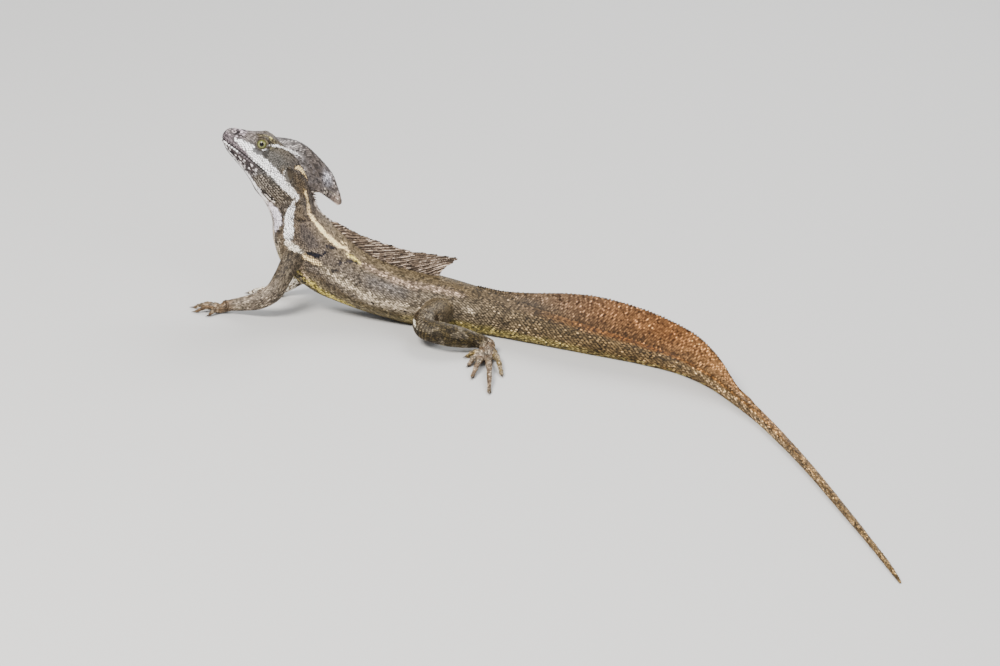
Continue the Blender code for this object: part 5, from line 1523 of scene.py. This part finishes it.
# paler in front, a pale patch behind, a pale rim and tip, with marks and mottling over them
def crestColour(p, along, out):
    front = smooth(-132, -150, p[:, 0] + 4 * (noise(p, 4, 50) - 0.5))
    col = mixIn(paints["crest"], paints["crestFront"], front * 0.85)
    patch = bump(p[:, 0], p[:, 2], (-122.3, 90.0), (3.8, 6.5)) * 1.2
    col = mixIn(col, paints["crestPale"], np.clip(patch + 0.4 * (noise(p, 2.5, 51) - 0.5), 0, 1) * 0.85)
    col = mixIn(col, paints["crestRim"], smooth(0.84, 0.95, out) * smooth(-140, -132, p[:, 0]) * 0.6)
    col = mixIn(col, paints["crestTip"], smooth(82, 75, p[:, 2]) * smooth(-121, -117, p[:, 0]) * 0.9)
    for mark in (*crestLines, templeMark):
        col = drawMark(col, p, mark)
    return col * (1 + 0.4 * (noise(p, 2.4, 52) - 0.5) + 1.1 * (noise(p, 1.0, 53) - 0.5))[:, None]


print("crest and sails")
# crest: a sheet ruled from the skull's midline to the rim, x and z of both; half thickness at root and rim
crestShape = {
    "rim": [
        (-163.5, 111.0), (-157.0, 111.2), (-149.6, 111.0), (-143.5, 110.0), (-137.4, 107.3), (-131.4, 102.8),
        (-125.6, 97.6), (-119.9, 91.3), (-115.9, 83.4), (-112.9, 76.1), (-112.3, 73.0), (-113.8, 71.9),
        (-116.2, 73.9), (-118.5, 77.2), (-120.4, 79.5), (-123.0, 79.4), (-127.0, 78.5), (-132.5, 77.8)],
    "root": [(-163.0, 106.5), (-154.0, 103.0), (-146.5, 97.0), (-141.5, 89.0), (-139.0, 80.0)],
    "half": (4.6, 0.75), "columns": 120, "rows": 30, "wave": 0.35, "under": 0.45, "steps": (1.25, 1.2),
    "height": 0.3, "keel": 0.15, "direction": (0.2, 0.95), "skip": 0.05, "wide": 1.02}
columns, rows = crestShape["columns"], crestShape["rows"]
rim, root = through(crestShape["rim"], columns), through(crestShape["root"], columns)
share = np.linspace(0, 1, rows)[None, :, None]
flat = root[:, None] * (1 - share) + rim[:, None] * share
wave = crestShape["wave"] * np.sin(flat[..., 0] / 5.0) * share[..., 0]
middle = np.stack([flat[..., 0], wave, flat[..., 1]], -1)
across = (1 - share[..., 0]) ** 1.6
ends = np.clip(np.minimum(np.arange(columns), np.arange(columns)[::-1]) / 14.0, 0.25, 1)[:, None]
half = (crestShape["half"][0] * across + crestShape["half"][1] * (1 - across)) * ends
tint = crestColour(middle.reshape(-1, 3), None, np.tile(np.linspace(0, 1, rows), columns))
# the sheet between the crest's scales is darkened by this share, as painted shade in the gaps
crest = sheetObject("crest", middle, half, leftward, tint.reshape(middle.shape) * crestShape["under"])
crest.data.materials.append(materials["crest"])
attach(crest, "root")
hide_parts("head_crest")
sheetScales("crest_scales", middle, half, leftward, crestColour, "crest", crestShape)

# sails: x of both ends, reach in mm and the rays' lean in degrees; reach is along the rays on the body and
# upright on the tail; then the sheet's notches, pleats, ridges and grid, and the sizes of its scales
sails = {
    "body_sail": {
        "span": (-131.6, -46.5), "reach": (3.0, 6.5, 11.5, 17.0, 24.0, 31.5, 35.0, 36.0, 30.0, 16.0, 1.5),
        "angle": (60.0, 44.0, 31.0, 27.0, 28.0, 34.0), "rise": 1.0, "rays": 14, "teeth": 14, "notch": 0.04,
        "pleat": 0.25, "ridge": 0.5, "bend": 0.0, "flare": 0.9, "stretch": 1.0, "thinEnds": 0.01,
        "columns": 16, "rows": 18, "under": 0.5, "steps": (0.8, 1.5), "height": 0.34, "keel": 0.7,
        "direction": (1.0, 0.0), "skip": 0.06, "wide": 1.02},
    "tail_sail": {
        "span": (-20.0, 151.5),
        "reach": (0.8, 2.2, 6.6, 12.6, 17.0, 18.8, 19.0, 18.5, 17.0, 15.0, 11.5, 7.0, 2.5, 1.0, 0.1),
        "angle": (62.0, 62.0), "rise": math.sin(math.radians(62.0)), "rays": 33, "teeth": 98, "notch": 0.025,
        "pleat": 0.08, "ridge": 0.1, "bend": 0.06, "flare": 2.6, "stretch": 14 / 12, "thinEnds": 0.08,
        "columns": 12, "rows": 16, "under": 0.36, "steps": (1.45, 1.1), "height": 0.34, "keel": 0.7,
        "direction": (1.0, 0.0), "skip": 0.0, "wide": 0.82}}


# sail: rays leave the back's midline and sweep back; the rim is notched between them
def buildSail(name, values, replaced, colourOf, slot):
    share = np.linspace(0, 1, values["rays"] * values["columns"] + 1)
    start, end = (trunk.atX(x) for x in values["span"])
    end = start + (end - start) * values["stretch"]
    t = start + (end - start) * share
    tangent, dorsal, left = trunk.axes(t)
    lean = np.radians(spread(values["angle"])(share))[:, None]
    ray = tangent * np.cos(lean) + dorsal * np.sin(lean)
    reach = spread(values["reach"])(share) / values["rise"]
    reach = reach * (1 + values["notch"] * np.cos(tau * values["teeth"] * share))
    climb = np.r_[-0.12, np.linspace(0, 1, values["rows"])][None]  # the first column is sunk in the back
    height, length = np.maximum(climb, 0), np.maximum(reach, 1.0)[:, None]
    middle = trunk.back(t)[:, None] + ray[:, None] * (length * height)[..., None]
    middle = middle - dorsal[:, None] * (3.0 * (climb < 0))[..., None]
    # rays curve back and the membrane is pleated between them
    middle = middle + tangent[:, None] * (values["bend"] * length * height ** 2)[..., None]
    pleat = values["pleat"] * np.sin(tau * values["rays"] * share * 0.5 + 0.6)[:, None] * height
    middle = middle + left[:, None] * pleat[..., None]
    ridge = np.clip(np.cos(tau * values["rays"] * share), 0, 1)[:, None] ** 1.5
    thin = np.clip(np.minimum(share, 1 - share)[:, None] / values["thinEnds"], 0.1, 1)
    half = (0.33 + values["flare"] * (1 - height) ** 3 + values["ridge"] * ridge * (1 - 0.6 * height)) * thin
    tint = colourOf(middle.reshape(-1, 3), np.repeat(share, climb.size), np.tile(height[0], len(share)))
    # the sheet between the sail's scales is darkened by this share, as painted shade in the gaps
    obj = sheetObject(name, middle, half, left[:, None], tint.reshape(middle.shape) * values["under"])
    obj.data.materials.append(materials["scales"])
    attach(obj, "root")
    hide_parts(*replaced)
    sheetScales(name + "_scales", middle, half, left, colourOf, slot, values)


# painted shade as dark grooves and painted highlights as thin pale lines, running with the rays and wavering
def bodySailColour(p, along, out):
    phase = sails["body_sail"]["rays"] * along * 2.0 + 0.75 * noise(p, 6, 65) + 0.4 * noise(p, 2.4, 67)
    wave = np.cos(tau * phase)
    # the grooves between the rays darkened as painted shade
    col = mixIn(paints["sail"], paints["sailGrooveShade"], smooth(0.1, -0.7, wave) * 0.9)
    broken = smooth(0.34, 0.52, noise(p, 4.5, 66))
    pale = smooth(0.6, 0.95, wave) * broken * (0.6 + 0.4 * smooth(0.2, 0.8, out))
    # the ridges' thin pale lines are painted highlights
    col = mixIn(col, paints["sailRayHighlight"], pale)
    return col * (1 + 0.4 * (noise(p, 3.0, 61) - 0.5))[:, None]


# the tail's own back tones, lighter towards the rim, with slanted strokes of painted keel highlights and
# shade
def tailSailColour(p, along, out):
    values = sails["tail_sail"]
    start, end = (trunk.atX(x) for x in values["span"])
    t = start + (end - start) * values["stretch"] * along
    base = toneAt(np.interp(t, trunk.knots, trunkRows[:, 0]), "back")
    col = mixIn(base * 1.04, base * [1.52, 1.42, 1.40], smooth(0.0, 0.6, out) * smooth(0.02, 0.2, along))
    return keelLightStrokes(col, p, t, 10 + 18 * out)


buildSail("body_sail_skin", sails["body_sail"], ["body_sail"], bodySailColour, "sail")
tailNodes = [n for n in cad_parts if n.startswith("tail_sail")]
buildSail("tail_sail_skin", sails["tail_sail"], tailNodes, tailSailColour, "tail_sail")


# spines along the nape and claws, both as small lofts of shrinking rings

# rings round an axis whose radius falls as (1 - v)^0.75, and whose line curves aside with v^2
def coneGrid(base, axis, side, length, wide, thick, curve, n=7, sides=8):
    axis, side = unit(axis), unit(side)
    third = np.cross(axis, side)
    v, w = np.meshgrid(np.linspace(0, 1, n), np.arange(sides) * tau / sides, indexing="ij")
    radius = np.maximum(1 - v, 0.02) ** 0.75
    points = (base + axis * (length * v)[..., None] + side * (wide * radius * np.cos(w))[..., None]
              + third * (thick * radius * np.sin(w))[..., None] + curve * (v**2)[..., None])
    return points.reshape(-1, 3), ringFaces(n, sides)


# colours a piece by its points, maps it as seen from the side, and hands it over
def finishPiece(obj, tint, material):
    p = coordinates(obj)
    setTint(obj, tint)
    uv = [(row - row.min()) / max(np.ptp(row), 1e-6) for row in (p[:, 0], p[:, 2] + 0.5 * p[:, 1])]
    setMap(obj, np.stack(uv, -1)[cornerIndex(obj)])
    obj.data.materials.append(materials[material])
    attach(obj, "root")


print("spines and claws")
nape = {"from": neckT - 1.0, "to": trunk.atX(-117.0), "count": 38, "height": 2.7, "wide": 1.25, "thick": 0.6,
        "sunk": 0.8, "lean": 0.55}
grids = []
for place in np.linspace(nape["from"], nape["to"], nape["count"]):
    tangent, dorsal, _ = (v[0] for v in trunk.axes(np.array([place])))
    size = nape["height"] * rng.uniform(0.75, 1.1) + nape["sunk"]
    base = trunk.back(np.array([place]), -nape["sunk"])[0]
    grids.append(coneGrid(base, dorsal + tangent * nape["lean"], tangent, size, nape["wide"], nape["thick"],
                          tangent * 0.5))
obj = makeObject("nape_spines", *joinGrids(grids))
banded = smooth(0.40, 0.6, noise(coordinates(obj), 1.3, 71))
finishPiece(obj, mixIn(paints["spine"], paints["spineDark"], banded), "scales")

clawValues = {"length": 3.4, "radius": 0.85, "narrow": 0.7, "sunk": 0.9, "lift": 0.14, "droop": 0.95}
grids = []
for name in legs:
    for tip, ahead in footParts[name][1]:
        side = np.cross(ahead, [0, 0, 1.0])
        grids.append(coneGrid(
            tip - ahead * clawValues["sunk"], ahead + np.array([0, 0, clawValues["lift"]]), side,
            clawValues["length"] + clawValues["sunk"], clawValues["radius"] * clawValues["narrow"],
            clawValues["radius"], np.array([0, 0, -clawValues["droop"]]), 9, 10))
obj = makeObject("claws", *joinGrids(grids))
points = coordinates(obj)
points[:, 2] = np.maximum(points[:, 2], 0.0)
setCoordinates(obj, points)
points = coordinates(obj)
finishPiece(obj, mixIn(paints["claw"], paints["clawPale"], noise(points, 2.0, 72)), "claw")


# floor, light and camera

floorMesh = bpy.data.meshes.new("floor")
floorMesh.from_pydata([(-6, -6, 0), (6, -6, 0), (6, 8, 0), (-6, 8, 0)], [], [(0, 1, 2, 3)])
floor = bpy.data.objects.new("floor", floorMesh)
bpy.context.scene.collection.objects.link(floor)
floorGraph = Graph("floor_look")
floorGraph.set(Base_Color=(0.5, 0.495, 0.48, 1), Roughness=0.6)
floorMesh.materials.append(floorGraph.material)

lamps = {  # place, size, power, colour
    "key": ((-0.9, -1.1, 1.5), 0.8, 98, (1.0, 0.97, 0.93)),
    "fill": ((1.3, -1.2, 1.0), 1.6, 23, (0.96, 0.98, 1.0)),
    "back": ((0.3, 1.4, 1.3), 1.0, 30, (1.0, 1.0, 1.0))}
for name, (place, size, power, colour) in lamps.items():
    lamp = bpy.data.lights.new(name, "AREA")
    lamp.shape, lamp.size, lamp.energy, lamp.color = "DISK", size, power, colour
    obj = bpy.data.objects.new(name, lamp)
    obj.location = place
    obj.rotation_euler = (Vector((0, 0, 0.04)) - Vector(place)).to_track_quat("-Z", "Y").to_euler()
    bpy.context.scene.collection.objects.link(obj)
world = bpy.data.worlds.new("studio")
world.use_nodes = True
world.node_tree.nodes["Background"].inputs["Color"].default_value = (0.9, 0.93, 1.0, 1)
world.node_tree.nodes["Background"].inputs["Strength"].default_value = 0.68
bpy.context.scene.world = world

view = {"elevation": math.radians(21), "roll": math.radians(8), "distance": 2.0, "mmPerPixel": 0.65}
ahead = np.array([0, math.cos(view["elevation"]), -math.sin(view["elevation"])])
right0 = np.array([1.0, 0, 0])
up0 = np.array([0, math.sin(view["elevation"]), math.cos(view["elevation"])])
right = math.cos(view["roll"]) * right0 + math.sin(view["roll"]) * up0
up = -math.sin(view["roll"]) * right0 + math.cos(view["roll"]) * up0
camera = bpy.data.cameras.new("camera")
camera.sensor_width = 36
camera.lens = 36 * view["distance"] / (view["mmPerPixel"] / 1000) / 1000
camera.clip_start = 0.05
cameraObj = bpy.data.objects.new("camera", camera)
cameraObj.matrix_world = Matrix.Translation(Vector(shift - ahead * view["distance"])) @ Matrix(
    [[right[i], up[i], -ahead[i]] for i in range(3)]).to_4x4()
bpy.context.scene.collection.objects.link(cameraObj)
bpy.context.scene.camera = cameraObj

shown = [o.data for o in bpy.data.objects if o.type == "MESH" and not o.hide_render]
print("triangles", sum(len(mesh.loops) - 2 * len(mesh.polygons) for mesh in shown))
